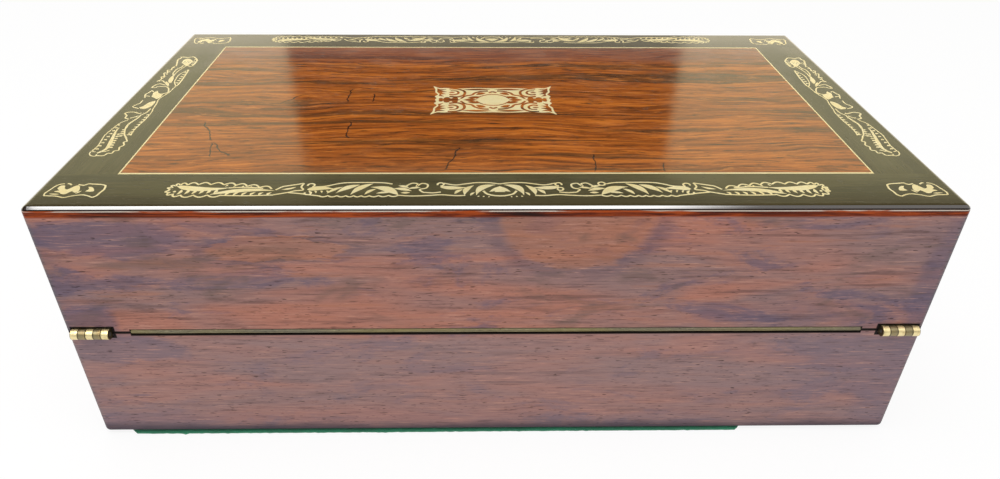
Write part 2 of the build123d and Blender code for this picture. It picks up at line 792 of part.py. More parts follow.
# ---- Lid: link plate whose two notched hooks drop into the lock ----
with BuildPart() as lock_link_plate:
    with BuildSketch(Plane.YZ):
        with BuildLine():
            Polyline(*lock_plate_outline(0.0, rim_drop, rim_drop + lock_plate_thickness), close=True)
        make_face()
    extrude(amount=lock_plate_length / 2, both=True)
    with BuildSketch(Plane.XY.offset(hook_tip)):
        with Locations(*[(x, lock_y) for x in hook_centres]):
            Rectangle(hook_width, hook_thickness)
    extrude(amount=hook_length + lock_plate_thickness)
    notch_middle = hook_tip + hook_lip + hook_notch_height / 2
    with BuildSketch(Plane.XZ.offset(-(lock_y + hook_thickness))):
        with Locations(*[(x + (hook_width - hook_notch_depth) / 2, notch_middle) for x in hook_centres]):
            Rectangle(hook_notch_depth, hook_notch_height)
    extrude(amount=2 * hook_thickness, mode=Mode.SUBTRACT)
    add(lid_screw_holes, mode=Mode.SUBTRACT)
finish(lock_link_plate, "lock_link_plate")

# ---- Brass inlay outlines ----
def leaf(length, width, bend=0.0):
    """A leaf that grows from the origin along +X, and curls more as the bend grows."""
    with BuildSketch(mode=Mode.PRIVATE) as outline:
        with BuildLine():
            ThreePointArc((0, 0), (length / 2, bend + width / 2), (length, 0))
            ThreePointArc((length, 0), (length / 2, bend - width / 2), (0, 0))
        make_face()
    return outline.sketch


def serrated_leaf(length):
    """A leaf with toothed edges and an open vein, from the origin along +X."""
    edge = [(0.0, 0.0)]
    for step in range(1, 2 * leaf_teeth):
        share = step / (2 * leaf_teeth)
        half_height = band_height / 2 * sqrt(sin(pi * share))
        edge.append((length * share, half_height - tooth_depth * (step % 2)))
    edge.append((length, 0.0))
    with BuildSketch(mode=Mode.PRIVATE) as outline:
        with BuildLine():
            Polyline(*edge)
            mirror(about=Plane.XZ)
        make_face()
        with Locations((length * (1 - vein_share) / 2, 0)):
            add(leaf(length * vein_share, vein_width), mode=Mode.SUBTRACT)
    return outline.sketch


def leaf_row(count, start, pitch, turn):
    """Places along the foot of a band, each turned by the same angle."""
    foot = -band_height / 2
    return [Location((start + step * pitch, foot, 0), (0, 0, turn)) for step in range(count)]


def long_band():
    """A crown in an oval, and to each side hugging leaves, scrolls, a bell and a serrated leaf."""
    leaf_root = long_band_length / 2 - leaf_length
    hugging_start = oval_length / 2 + scroll_leaf_width
    with BuildSketch(mode=Mode.PRIVATE) as band:
        with Locations((-oval_length / 2, 0)):
            add(leaf(oval_length, oval_height))
        offset(amount=-inlay_line, mode=Mode.SUBTRACT)
        with BuildLine():
            Polyline((-crown_length / 2, 0), (crown_length / 2, 0), (0, crown_height), close=True)
        make_face()
        with Locations(*leaf_row(hugging_count, hugging_start, hugging_pitch, hugging_lean)):
            add(leaf(band_height, scroll_leaf_width, -scroll_bend))
        with Locations(*leaf_row(scroll_count, scroll_start, scroll_pitch, scroll_lean)):
            add(leaf(scroll_leaf_length, scroll_leaf_width, scroll_bend))
        bell_end = leaf_root - inlay_line
        with BuildLine():
            Polyline(
                (bell_end, bell_length / 2),
                (bell_end, -bell_length / 2),
                (bell_end - bell_length, 0),
                close=True,
            )
        make_face()
        with Locations((leaf_root, 0)):
            add(serrated_leaf(leaf_length))
        mirror(about=Plane.YZ)
    return band.sketch


def side_band():
    """A serrated leaf with its tip at the -X end, a run of scrolls, and a rosette at the other end."""
    leaf_root = side_leaf_length - side_band_length / 2
    rosette_x = side_band_length / 2 - rosette_radius
    count = round((rosette_x - rosette_radius - leaf_root) / scroll_pitch)
    pitch = (rosette_x - rosette_radius - leaf_root) / count
    with BuildSketch(mode=Mode.PRIVATE) as band:
        with Locations(Location((leaf_root, 0, 0), (0, 0, 180))):
            add(serrated_leaf(side_leaf_length))
        with Locations(*leaf_row(count, leaf_root + pitch, pitch, 180 - scroll_lean)):
            add(leaf(scroll_leaf_length, scroll_leaf_width, -scroll_bend))
        with Locations((rosette_x, 0)):
            RegularPolygon(rosette_radius, rosette_petals)
            RegularPolygon(rosette_radius - inlay_line, rosette_petals, mode=Mode.SUBTRACT)
            RegularPolygon(rosette_radius - 2 * inlay_line, rosette_petals)
    return band.sketch


def corner_ornament():
    """A slanting ribbon-like frame round a leaf and a small triangle, for the +X +Y corner."""
    across = corner_length / 2
    up = corner_height / 2
    with BuildSketch(mode=Mode.PRIVATE) as ornament:
        with BuildLine():
            Polyline((-across, -up), (across / 2, -up), (across, up), (-across / 2, up), close=True)
        make_face()
        offset(amount=-inlay_line, mode=Mode.SUBTRACT)
        with Locations(Location((across / 2, up / 2, 0), (0, 0, 200))):
            add(leaf(across, up))
        with BuildLine():
            Polyline((-across / 2, up / 2), (-across / 2, -up / 2), (-across * 2 / 3, -up / 2), close=True)
        make_face()
    return ornament.sketch


def centre_ornament():
    """A framed oblong of scrolls, wedges and spindles round a pointed oval left bare for a name."""
    frame_x = centre_length / 2 - centre_corner_leaf / 2
    frame_y = centre_height / 2 - centre_corner_leaf / 2
    inside_x = frame_x - 2 * inlay_line
    inside_y = frame_y - 2 * inlay_line
    spindle_start = cartouche_length / 2 + inlay_line
    with BuildSketch(mode=Mode.PRIVATE) as ornament:
        Rectangle(2 * frame_x, 2 * frame_y)
        offset(amount=-inlay_line, mode=Mode.SUBTRACT)
        with Locations((-cartouche_length / 2, 0)):
            add(leaf(cartouche_length, cartouche_height))
        leaf_root = Vector(frame_x, frame_y) - Vector(inlay_line, inlay_line) / 2
        with Locations(Pos(*leaf_root) * Rot(0, 0, 45)):
            add(leaf(centre_corner_leaf, scroll_leaf_width))
        with Locations((spindle_start, 0)):
            add(leaf(inside_x - spindle_start, scroll_leaf_width))
        with Locations(Location((inside_x, inside_y - centre_scroll_width, 0), (0, 0, 180))):
            add(leaf(centre_scroll_length, centre_scroll_width, scroll_bend))
        wedge_end = wedge_start + wedge_length
        with BuildLine():
            Polyline(
                (wedge_start, inside_y),
                (wedge_end, inside_y),
                (wedge_end, inside_y - wedge_height),
                close=True,
            )
        make_face()
        mirror(about=Plane.YZ)
        mirror(about=Plane.XZ)
    return ornament.sketch


# ---- Lid: veneered top with its brass stringing and inlay ----
string_half_x = half_width - border_width
string_half_y = half_depth - border_width
band_y = half_depth - border_width / 2
band_x = half_width - border_width / 2
left_band = Location((-band_x, 0, 0), (0, 0, 90)) * side_band()
far_corner = Pos(corner_x, band_y) * corner_ornament()
far_corners = far_corner + mirror(far_corner, about=Plane.YZ)
inlays = {
    "inlay_centre": centre_ornament(),
    "inlay_near_band": Pos(0, -band_y) * long_band(),
    "inlay_far_band": Location((0, band_y, 0), (0, 0, 180)) * long_band(),
    "inlay_left_band": left_band,
    "inlay_right_band": mirror(left_band, about=Plane.YZ),
    "inlay_corners": far_corners + mirror(far_corners, about=Plane.XZ),
}
with BuildPart() as inlay_room:
    with BuildSketch(Plane.XY.offset(box_height)):
        for outline in inlays.values():
            add(outline)
    extrude(amount=-inlay_depth)

for name, outline in inlays.items():
    with BuildPart() as inlay:
        with BuildSketch(Plane.XY.offset(box_height)):
            add(outline)
        extrude(amount=-inlay_depth)
    finish(inlay, name)

with BuildPart() as brass_stringing:
    with BuildSketch(Plane.XY.offset(veneer_bottom)):
        Rectangle(2 * string_half_x, 2 * string_half_y)
        offset(amount=-string_width, mode=Mode.SUBTRACT)
    extrude(amount=veneer)
finish(brass_stringing, "brass_stringing")

with BuildPart() as centre_panel:
    with BuildSketch(Plane.XY.offset(veneer_bottom)):
        Rectangle(2 * (string_half_x - string_width), 2 * (string_half_y - string_width))
    extrude(amount=veneer)
    add(inlay_room.part, mode=Mode.SUBTRACT)
finish(centre_panel, "centre_panel")

border_strips = {
    "border_near": ((0, -band_y), (box_width, border_width)),
    "border_far": ((0, band_y), (box_width, border_width)),
    "border_left": ((-band_x, 0), (border_width, 2 * string_half_y)),
    "border_right": ((band_x, 0), (border_width, 2 * string_half_y)),
}
for name, (place, size) in border_strips.items():
    with BuildPart() as border_strip:
        with BuildSketch(Plane.XY.offset(veneer_bottom)):
            with Locations(place):
                Rectangle(*size)
        extrude(amount=veneer)
        add(outer_form.part, mode=Mode.INTERSECT)
        add(inlay_room.part, mode=Mode.SUBTRACT)
    finish(border_strip, name)
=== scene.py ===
"""Dresses the writing slope: veneers, brass inlay, leather, baize, glass and brass, with its studio."""
import cmath
import math
from contextlib import contextmanager

import bmesh
import bpy
from mathutils import Matrix, Vector, noise
from mathutils.geometry import delaunay_2d_cdt


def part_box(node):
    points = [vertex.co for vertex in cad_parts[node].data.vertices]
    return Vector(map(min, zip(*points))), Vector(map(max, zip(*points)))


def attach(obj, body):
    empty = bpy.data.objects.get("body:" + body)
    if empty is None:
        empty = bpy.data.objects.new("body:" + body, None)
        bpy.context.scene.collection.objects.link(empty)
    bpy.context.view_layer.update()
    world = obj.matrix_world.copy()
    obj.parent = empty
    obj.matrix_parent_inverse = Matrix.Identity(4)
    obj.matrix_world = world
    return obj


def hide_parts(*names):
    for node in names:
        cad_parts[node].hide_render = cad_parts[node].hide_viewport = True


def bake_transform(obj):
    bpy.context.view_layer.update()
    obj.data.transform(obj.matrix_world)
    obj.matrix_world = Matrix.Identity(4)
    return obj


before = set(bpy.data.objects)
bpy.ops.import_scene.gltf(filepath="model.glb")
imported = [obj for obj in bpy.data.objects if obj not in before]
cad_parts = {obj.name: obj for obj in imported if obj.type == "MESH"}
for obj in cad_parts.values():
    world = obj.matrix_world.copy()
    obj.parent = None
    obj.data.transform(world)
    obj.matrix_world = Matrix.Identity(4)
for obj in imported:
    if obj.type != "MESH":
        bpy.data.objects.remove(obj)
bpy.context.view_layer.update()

bl_info = {
    "name": "Writing slope",
    "version": (1, 0, 0),
    "blender": (4, 5, 0),
    "location": "View3D > Sidebar > Writing slope",
    "description": "Builds the finish of a brass-inlaid rosewood writing slope",
    "category": "Object",
}

MM = 0.001
PANEL_LOW, PANEL_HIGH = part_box("centre_panel")
CASE_LOW, CASE_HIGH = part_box("base_hinge_wall")
HALF_WIDTH = CASE_HIGH.x
HALF_DEPTH = -CASE_LOW.y
TOP = PANEL_HIGH.z
VENEER_BOTTOM = PANEL_LOW.z
SEAM_SLOPE = 34 / 228
SEAM_ANGLE = math.atan(SEAM_SLOPE)
SIDE_STRING_GAIN = 0.5 * MM
FAR_STRING_SHIFT = 2.6 * MM

# ---- Places on the box, in millimetres, that materials and inlay share ----
FRONT = HALF_DEPTH / MM
SEAM_HEIGHT = 67.0
FOLD_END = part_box("leather_fold_base")[1].x / MM
MORTICE_X, MORTICE_Z = 187.6, 67.1
NOTCH_X = 174.5
BAND_FOOT, BLACK_LINE, GLUE_LINE = 129.2, 132.3, 132.2
NEAR_BAND_Y, FAR_BAND_Y, SIDE_BAND_X, CORNER_X = -98.7, 102.0, -185.0, -183.0
# Painted shade: the near black painted into the seam's rebates, the hinge mortices and the notches.
SEAM_SHADE = (0.008, 0.005, 0.004)

# On the hinge side: middle across and up, half width, half height and share
KNOTS = ((33, 139, 34, 28, 0.5), (-96, 122, 32, 7, 0.45))
BLOOM_PATCHES = (
    (-170, 128, 40, 11, 0.65), (-176, 66, 30, 9, 0.65), (-188, 82, 14, 12, 0.65), (182, 60, 34, 12, 0.6),
    (200, 100, 13, 40, 0.45), (204, 22, 26, 56, 0.5), (-182, 12, 50, 15, 0.5),
)
# Cracks of the panel: middle, direction in degrees and length
CRACKS = (
    (-143.5, -39, -66, 26), (-131.7, -59.5, -53, 21), (-136.5, -60, -80, 18), (-111, 1, -129, 19),
    (-80, 7, -93, 21), (-74.2, -37.7, -85, 22), (-66.3, 3.4, -94, 14), (-21.3, -69, -106, 26),
    (44.8, -73.5, -97, 20), (76, -78, -97, 11),
)

# ---- The photo's camera and the light round it ----
CAMERA_PLACE = (-0.009798, -0.38133, 0.29346)
CAMERA_PITCH, CAMERA_YAW, CAMERA_ROLL = 0.58067326, -0.01913364, 0.00821258
FLOOR_DROP = 0.0002
FLOOR_GLOW = 1.09
LIGHT_TARGET = Vector((0, 0, 0.06))


# ---- What a user may change ----
def colour(name, description, value):
    """A colour property in linear light."""
    return bpy.props.FloatVectorProperty(
        name=name, description=description, subtype="COLOR", size=3, min=0.0, max=1.0, default=value
    )


def length(name, description, millimetres):
    """A length property, given in millimetres and kept in metres."""
    return bpy.props.FloatProperty(
        name=name, description=description, unit="LENGTH", min=0.0, default=millimetres * MM, precision=5
    )


def strength(name, description, value):
    """A brightness or power."""
    return bpy.props.FloatProperty(name=name, description=description, min=0.0, default=value)


class SlopeColours(bpy.types.PropertyGroup):
    wall_red: colour("Wall rosewood", "Ground colour of the hazed walls", (0.5, 0.215, 0.155))
    # The haze colour is partly the dull old polish and partly a painted reflection of the pale floor.
    wall_mauve: colour("Wall haze", "Cooler colour where the old polish has gone dull", (0.33, 0.205, 0.195))
    wall_blue: colour("Wall bloom", "Bluish bloom along the foot and in patches", (0.15, 0.12, 0.18))
    wall_orange: colour("Wall figure", "Orange figure where the veneer is knotty", (0.48, 0.19, 0.1))
    panel_light: colour("Panel light", "Light streaks of the top panel", (0.6, 0.17, 0.018))
    panel_middle: colour("Panel middle", "Ground colour of the top panel", (0.4, 0.1, 0.011))
    panel_dark: colour("Panel dark", "Dark streaks of the top panel", (0.085, 0.034, 0.008))
    border: colour("Border veneer", "Ebonised border of the lid", (0.082, 0.068, 0.022))
    brass: colour("Brass", "Hinges, lock, screws and caps", (0.86, 0.72, 0.38))
    leather: colour("Leather", "Writing leather", (0.085, 0.075, 0.035))
    baize: colour("Baize", "Cloth under the base", (0.008, 0.27, 0.13))
    mahogany: colour("Mahogany", "Inside of the box", (0.23, 0.075, 0.03))


class SlopeSizes(bpy.types.PropertyGroup):
    corner_radius: length("Corner radius", "Round of the upright corners", 2.6)
    edge_radius: length("Edge radius", "Round of the lid's top edge", 2.5)
    inlay_line: length("Inlay line", "Width of a thin inlaid line", 0.85)
    inlay_proud: length("Inlay stand", "How far old inlay stands above the shrunken veneer", 0.02)
    leather_thickness: length("Leather thickness", "Thickness of the folded leather", 0.7)
    fringe_reach: length("Baize reach", "How far the loose baize edge pokes out", 4.0)


class SlopeStudio(bpy.types.PropertyGroup):
    ambient: strength("Ambient", "Strength of the even light all round", 0.56)
    key: strength("Key light", "Power of the soft light above, in watts", 5.6)
    window: strength("Windows", "Brightness of the two windows that the polish mirrors", 1.05)
    edge: strength("Edge light", "Brightness of the strip that the rounded edges mirror", 5.0)


def colours():
    """The colours that the user has set."""
    return bpy.context.scene.slope_colours


def sizes():
    """The sizes that the user has set."""
    return bpy.context.scene.slope_sizes


# ---- Shader maths ----
def maths(operation, turned=False):
    """A method that puts a value and its partners through a Math node, the value last if turned."""
    def apply(value, *others):
        inputs = (*others, value) if turned else (value, *others)
        return value.finish.node("ShaderNodeMath", {"operation": operation}, *inputs)
    return apply


class Value:
    """A shader socket that takes part in Python expressions."""

    def __init__(self, finish, socket):
        self.finish = finish
        self.socket = socket

    __add__ = __radd__ = maths("ADD")
    __mul__ = __rmul__ = maths("MULTIPLY")
    __sub__ = maths("SUBTRACT")
    __rsub__ = maths("SUBTRACT", turned=True)
    __truediv__ = maths("DIVIDE")
    __pow__ = maths("POWER")
    __abs__ = maths("ABSOLUTE")
    least = maths("MINIMUM")
    most = maths("MAXIMUM")
    fraction = maths("FRACT")
    arcsine = maths("ARCSINE")
    arctangent = maths("ARCTAN2")

    def step(self, low, high):
        """Rises smoothly from 0 to 1 as the value goes from low to high."""
        return self.finish.node("ShaderNodeMapRange", {"interpolation_type": "SMOOTHSTEP"}, self, low, high)


class Finish:
    """One material, or the world, and the calls that add its nodes."""

    def __init__(self, name="", owner=None):
        self.owner = owner or bpy.data.materials.new(name)
        self.owner.use_nodes = True
        self.tree = self.owner.node_tree
        self.tree.nodes.clear()
        self.where = None

    def node(self, kind, settings=None, *inputs, output=0, **named):
        """Adds a node: its settings first, then the values or links of its sockets."""
        node = self.tree.nodes.new(kind)
        for setting, value in (settings or {}).items():
            setattr(node, setting, value)
        sockets = list(zip(node.inputs, inputs))
        sockets += [(node.inputs[name.replace("_", " ")], value) for name, value in named.items()]
        for socket, value in sockets:
            if isinstance(value, Value):
                self.tree.links.new(value.socket, socket)
            elif value is not None:
                if socket.type == "RGBA":
                    value = (*value, 1.0)
                socket.default_value = value
        return Value(self, node.outputs[output]) if node.outputs else None

    def axes(self, vector):
        """The three parts of a vector."""
        split = self.node("ShaderNodeSeparateXYZ", None, vector).socket.node
        return [Value(self, socket) for socket in split.outputs]

    def place(self, grain=None):
        """Object coordinates in millimetres; noise takes them with the grain's axis first."""
        spot = self.node("ShaderNodeTexCoord", output=3)
        self.where = self.node("ShaderNodeMapping", None, spot, Scale=(1000, 1000, 1000))
        axes = self.axes(self.where)
        if grain:
            self.where = self.join(*(axes["XYZ".index(axis)] for axis in grain))
        return axes

    def join(self, x, y, z):
        return self.node("ShaderNodeCombineXYZ", None, x, y, z)

    def noise(self, stretch, detail=2.0, rough=0.5, warp=0.0, move=(0, 0, 0), turn=0.0, where=None):
        """Noise from 0 to 1, whose grains are as many millimetres as stretch says."""
        where = where or self.where
        if turn:
            where = self.node("ShaderNodeMapping", None, where, Rotation=(0, 0, math.radians(turn)))
        scale = tuple(1 / size for size in stretch)
        where = self.node("ShaderNodeMapping", None, where, Location=move, Scale=scale)
        return self.node(
            "ShaderNodeTexNoise", None, where, Scale=1.0, Detail=detail, Roughness=rough, Distortion=warp
        )

    def mix(self, share, under, over):
        """Two colours mixed by the share of the second."""
        unused = [None] * 5
        return self.node("ShaderNodeMix", {"data_type": "RGBA"}, share, *unused, under, over, output=2)

    def coats(self, tint, *coats):
        """A colour with others laid over it in turn, each with its share."""
        for share, over in coats:
            tint = self.mix(share, tint, over)
        return tint

    def ramp(self, factor, *stops):
        """A colour that follows the stops as the factor goes from 0 to 1."""
        tint = self.node("ShaderNodeValToRGB", None, factor)
        elements = tint.socket.node.color_ramp.elements
        while len(elements) < len(stops):
            elements.new(1.0)
        for element, (position, stop) in zip(elements, stops):
            element.position = position
            element.color = (*stop, 1.0)
        return tint

    def surface(self, tint, rough, bump, **sockets):
        """The main shader; a bump is its height, how many millimetres a height of 1 is, and its share."""
        height, depth, share = bump
        normal = self.node("ShaderNodeBump", None, Strength=share, Distance=depth * MM, Height=height)
        shader = self.node(
            "ShaderNodeBsdfPrincipled", None, Base_Color=tint, Roughness=rough, Normal=normal, **sockets
        )
        self.node("ShaderNodeOutputMaterial", None, shader)
        return self.owner


def dress(material, *nodes):
    """Gives carried-over nodes their material."""
    for name in nodes:
        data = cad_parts[name].data
        if not data.materials:
            data.materials.append(material)
        for index in range(len(data.materials)):
            data.materials[index] = material


# ---- Woods: each takes the axes of its grain, along, across and through ----
def knots_and_patches(finish, tint, x, z):
    """Orange knots with dark rims, bluish patches, and a painted bluish reflection down the rounded corners
    of a long wall.
    """
    paint = colours()
    edge = finish.noise((22, 5, 20), 4, 0.65, 0.4) * 18

    def oval(centre_x, centre_z, wide, high):
        """The squared distance from an uneven oval's middle, which is 1 on its rim."""
        return ((x - centre_x) / wide) ** 2 + ((z - centre_z + edge) / high) ** 2

    for *knot, share in KNOTS:
        away = oval(*knot)
        rim = away.step(1.7, 1.15) * away.step(0.85, 1.15) * 0.35
        tint = finish.coats(
            tint, (away.step(1.1, 0.8) * share, paint.wall_orange), (rim, (0.11, 0.08, 0.12))
        )
    for *patch, share in BLOOM_PATCHES:
        tint = finish.mix(oval(*patch).step(1.2, 0.5) * share, tint, paint.wall_blue)
    # Painted reflection: a bluish rim down the rounded corners.
    return finish.mix(abs(x).step(196.5, 199) * 0.5, tint, (0.13, 0.15, 0.16))


def hinge_recess_shade(finish, tint, x, y, z, rise):
    """Painted shade in the mortices round the hinges, in the notches beside them and along the opening where
    the leather is folded.
    """
    face = y.step(-113, -113.6)
    mortice_shade = abs(abs(x) - MORTICE_X).step(10.3, 9.9) * abs(z - MORTICE_Z).step(3.6, 3.2)
    notch_shade = abs(abs(x) - NOTCH_X).step(4.2, 3.6) * abs(rise + 0.1).step(1.0, 0.6) * 0.95
    fold_lip_shade = abs(x).step(FOLD_END + 0.6, FOLD_END + 0.2) * abs(rise + 0.15).step(2.15, 1.75)
    return finish.mix(face * mortice_shade.most(notch_shade).most(fold_lip_shade), tint, SEAM_SHADE)


def rosewood_wall(name, grain):
    """Dull, hazed rosewood veneer outside, with pores, bloom and knots, a painted floor reflection in its
    haze, painted shade along the seam, in the rebates and round the hinges, and mahogany behind it.
    """
    paint = colours()
    finish = Finish(name)
    x, y, z = finish.place(grain)
    long_wall = grain[0] == "X"
    broad = finish.noise((130, 20, 60), 3, 0.55, 0.6)
    streak = finish.noise((48, 3.2, 30), 5, 0.68, 0.4)
    fibre = finish.noise((13, 0.85, 8), 4, 0.7, 0.2)
    haze = finish.noise((46, 15, 40), 5, 0.68, 0.5, move=(3, 7, 2))
    foot = finish.noise((45, 12, 40), 3, 0.6, 0.4, move=(9, 1, 4))
    olive = finish.noise((60, 24, 40), 4, 0.65, 0.6, move=(6, 2, 9)).step(0.52, 0.66) * z.step(60, 75)
    pores = finish.noise((5, 0.6, 2), 1).step(0.66, 0.71) * finish.noise((30, 9, 20)).step(0.4, 0.52)
    if long_wall:
        dull_middle = (x - foot * 60).step(40, 130) * (abs(z - 52) - foot * 30).step(30, 4) * 0.9
        ends = (abs(x) - foot * 46).step(150, 190) * 0.8 + dull_middle
    else:
        ends = (abs(y) - foot * 30).step(76, 104)
    low = (z + foot * 26).step(34, 12)
    bloom = (haze.step(0.52, 0.66) * 0.62 + low * 0.5 + ends * haze.step(0.3, 0.6) * 0.6).least(0.8)
    # The hazed mauve ground is partly the dull old polish and partly a painted reflection of the pale floor.
    tint = finish.coats(
        paint.wall_mauve, (broad.step(0.36, 0.66), paint.wall_red),
        (streak.step(0.5, 0.68) * 0.6, (0.14, 0.075, 0.07)),
        (streak.step(0.47, 0.3) * 0.4, paint.wall_orange), (bloom, paint.wall_blue),
    )
    if long_wall:
        tint = knots_and_patches(finish, tint, x, z)
    # Below the top edge a band keeps the clean red of the rosewood, where the painted floor reflection in the
    # haze stops; its darkness is partly the wood's own colour and partly a painted dark reflection.
    glossy = (z + foot * 1.2).step(BAND_FOOT, BAND_FOOT + 1.2)
    red = finish.ramp(
        streak, (0.38, (0.42, 0.07, 0.01)), (0.5, (0.13, 0.018, 0.004)), (0.62, (0.02, 0.005, 0.003))
    )
    glue = abs(z + foot * 0.2 - GLUE_LINE).step(0.34, 0.14) * streak.step(0.38, 0.48)
    rise = z - SEAM_HEIGHT - (y + FRONT) * SEAM_SLOPE
    # Among these layers, the near-black line where rise is near 0 is painted shade in the seam between lid
    # and base.
    tint = finish.coats(
        tint, (z.step(70, 60) * 0.4, (0.38, 0.265, 0.265)),
        (fibre.step(0.54, 0.72) * 0.6, (0.66, 0.36, 0.28)),
        (fibre.step(0.47, 0.28) * 0.62, (0.085, 0.045, 0.045)), (pores * 0.85, (0.028, 0.014, 0.014)),
        (olive * 0.45, (0.13, 0.1, 0.085)), ((z + foot * 7).step(12.5, 6) * 0.85, (0.06, 0.05, 0.068)),
        (glossy, red), (z.step(BLACK_LINE, BLACK_LINE + 0.15), (0.016, 0.008, 0.006)),
        (glue * 0.85, (0.75, 0.66, 0.56)), (abs(rise).step(0.75, 0.3) * 0.85, (0.02, 0.012, 0.012)),
    )
    if long_wall:
        tint = hinge_recess_shade(finish, tint, x, y, z, rise)
    inner = finish.mix(fibre.step(0.3, 0.7), 0.6 * paint.mahogany, paint.mahogany)
    skin = abs(x).most(abs(y) + (HALF_WIDTH - HALF_DEPTH) / MM).step(198.2, 198.6)
    tint = finish.mix(skin, inner, tint)
    if long_wall:
        # Painted shade: the faces of the rebates either side of the seam are painted near black.
        rebate = y.step(-103.5, -104.5) * y.step(-113.95, -113.85)
        rims = rebate * abs(rise).step(0.25, 0.4) * abs(rise).step(2.2, 1.8)
        tint = finish.mix(rims, tint, SEAM_SHADE)
    rough = 0.46 - glossy * 0.2 + haze.step(0.4, 0.7) * 0.1
    return finish.surface(tint, rough, (fibre * 0.6 - pores * 1.2 + broad * 1.5, 0.035, 0.5), IOR=1.22)


def rosewood_panel(name):
    """Glossy orange-brown rosewood with dark bands, fine streaks, cracks and scratches."""
    paint = colours()
    finish = Finish(name)
    x, y, z = finish.place("XYZ")
    drift = finish.noise((120, 50, 50), 3)
    bent = finish.join(x, y + drift * 30, z)
    broad = finish.noise((260, 11, 60), 3, 0.6, 0.3, where=bent)
    streak = finish.noise((70, 2.8, 30), 4, 0.7, 0.3, move=(1, 5, 0), where=bent)
    line = finish.noise((16, 1.7, 12), 4, 0.7, 0.4, move=(4, 9, 0), where=bent)
    pores = finish.noise((6, 0.8, 1), 1).step(0.68, 0.73)
    rub = finish.noise((60, 0.7, 5), 2, 0.7, turn=-7).step(0.66, 0.7)
    rub = rub * finish.noise((50, 26, 9)).step(0.5, 0.7)
    dull = finish.noise((26, 20, 9), 4, 0.6)
    wander = (finish.noise((9, 9, 9), 3, 0.6) - 0.5) * 6
    cracks = pores * 0
    for centre_x, centre_y, turn, long in CRACKS:
        way = cmath.rect(1, math.radians(turn))
        run = (x - centre_x) * way.real + (y - centre_y) * way.imag
        aside = (y - centre_y) * way.real - (x - centre_x) * way.imag + wander
        cracks = cracks.most(abs(aside).step(0.6, 0.2) * abs(run).step(long / 2, long / 2 - 3))
    ground = finish.ramp(
        streak, (0.36, paint.panel_light), (0.5, paint.panel_middle), (0.64, 0.5 * paint.panel_middle)
    )
    tint = finish.coats(
        ground, (broad.step(0.51, 0.6) * 0.72, paint.panel_dark),
        (line.step(0.52, 0.66) * 0.8, 0.6 * paint.panel_dark),
        (line.step(0.46, 0.34) * 0.6, (0.72, 0.23, 0.035)),
        ((y + drift * 9).step(58, 72) * 0.45, (0.17, 0.055, 0.05)), (pores * 0.5, (0.02, 0.008, 0.005)),
        (cracks * 0.85, (0.02, 0.01, 0.006)), (rub * 0.2, (0.7, 0.5, 0.36)),
    )
    rough = 0.08 + dull.step(0.4, 0.75) * 0.07 + rub * 0.2
    return finish.surface(tint, rough, (line * 0.3 + broad - pores + dull * 0.6, 0.02, 0.4), IOR=1.5)


def border_veneer(name, grain):
    """Ebonised border: near black with an olive polish, faint grain, fine scratches and a painted dark
    reflection on its rounded edge.
    """
    paint = colours()
    finish = Finish(name)
    _, y, z = finish.place(grain)
    broad = finish.noise((130, 12, 30), 3, 0.5, 0.3)
    fibre = finish.noise((20, 0.9, 6), 4, 0.65)
    pores = finish.noise((5, 0.7, 1), 1).step(0.67, 0.72)
    rub = finish.noise((40, 0.4, 5), 2, 0.7, turn=12).step(0.68, 0.72)
    rub = rub * finish.noise((30, 12, 9)).step(0.5, 0.66)
    dull = finish.noise((22, 16, 9), 4, 0.6)
    # The rounded edge under the flat top: its near-black colour is a painted dark reflection, and a strong
    # coat brightens the strip that it mirrors.
    edge = z.step(133.95, 133.75)
    tint = finish.coats(
        0.55 * paint.border, (broad.step(0.35, 0.65), paint.border),
        (fibre.step(0.45, 0.7) * 0.5, (0.115, 0.085, 0.034)), (pores * 0.6, (0.008, 0.006, 0.003)),
        (rub * 0.3, (0.34, 0.31, 0.2)), (y.step(-99, -111) * 0.5, (0.04, 0.024, 0.01)),
        (edge * 0.9, (0.016, 0.006, 0.003)),
    )
    rough = 0.1 + dull.step(0.4, 0.75) * 0.08 + rub * 0.2
    return finish.surface(
        tint, rough, (fibre * 0.4 + dull + broad - pores, 0.02, 0.5), IOR=1.5,
        Coat_Weight=edge, Coat_Roughness=0.05, Coat_IOR=2.3,
    )


def mahogany(name, grain):
    """Plain oiled mahogany for the parts inside."""
    paint = colours()
    finish = Finish(name)
    finish.place(grain)
    broad = finish.noise((120, 9, 20), 3, 0.5, 0.3)
    fibre = finish.noise((14, 0.6, 4), 3, 0.6)
    pores = finish.noise((5, 0.3, 1), 1).step(0.62, 0.7)
    stain = finish.noise((30, 30, 30), 4, 0.65).step(0.56, 0.74)
    tint = finish.coats(
        0.6 * paint.mahogany, ((broad * 0.6 + fibre * 0.4).step(0.35, 0.65), 1.15 * paint.mahogany),
        (pores * 0.7, (0.03, 0.012, 0.006)), (stain * 0.4, (0.035, 0.02, 0.018)),
    )
    return finish.surface(tint, 0.42 + fibre * 0.16, (fibre - pores, 0.04, 0.6), IOR=1.48)


# ---- Metals, leather, cloth and glass ----
def brass(name, wear, dark):
    """Old brass: pale and rubbed on top, browner where polish has not reached, with fine scratches."""
    finish = Finish(name)
    finish.place()
    cloud = finish.noise((5, 5, 5), 4, 0.6)
    fine = finish.noise((0.16, 3.0, 1), turn=20)
    spots = finish.noise((1.1, 1.1, 1.1), 3, 0.6).step(0.58, 0.72)
    tint = finish.coats(
        colours().brass, (cloud.step(0.35, 0.7) * dark, (0.52, 0.36, 0.13)),
        (spots * dark, (0.22, 0.14, 0.05)),
    )
    rough = 0.24 + cloud * wear + fine * 0.1
    return finish.surface(tint, rough, (fine * 0.6 + cloud * 0.4, 0.02, 0.5), Metallic=1.0 - spots * 0.35)


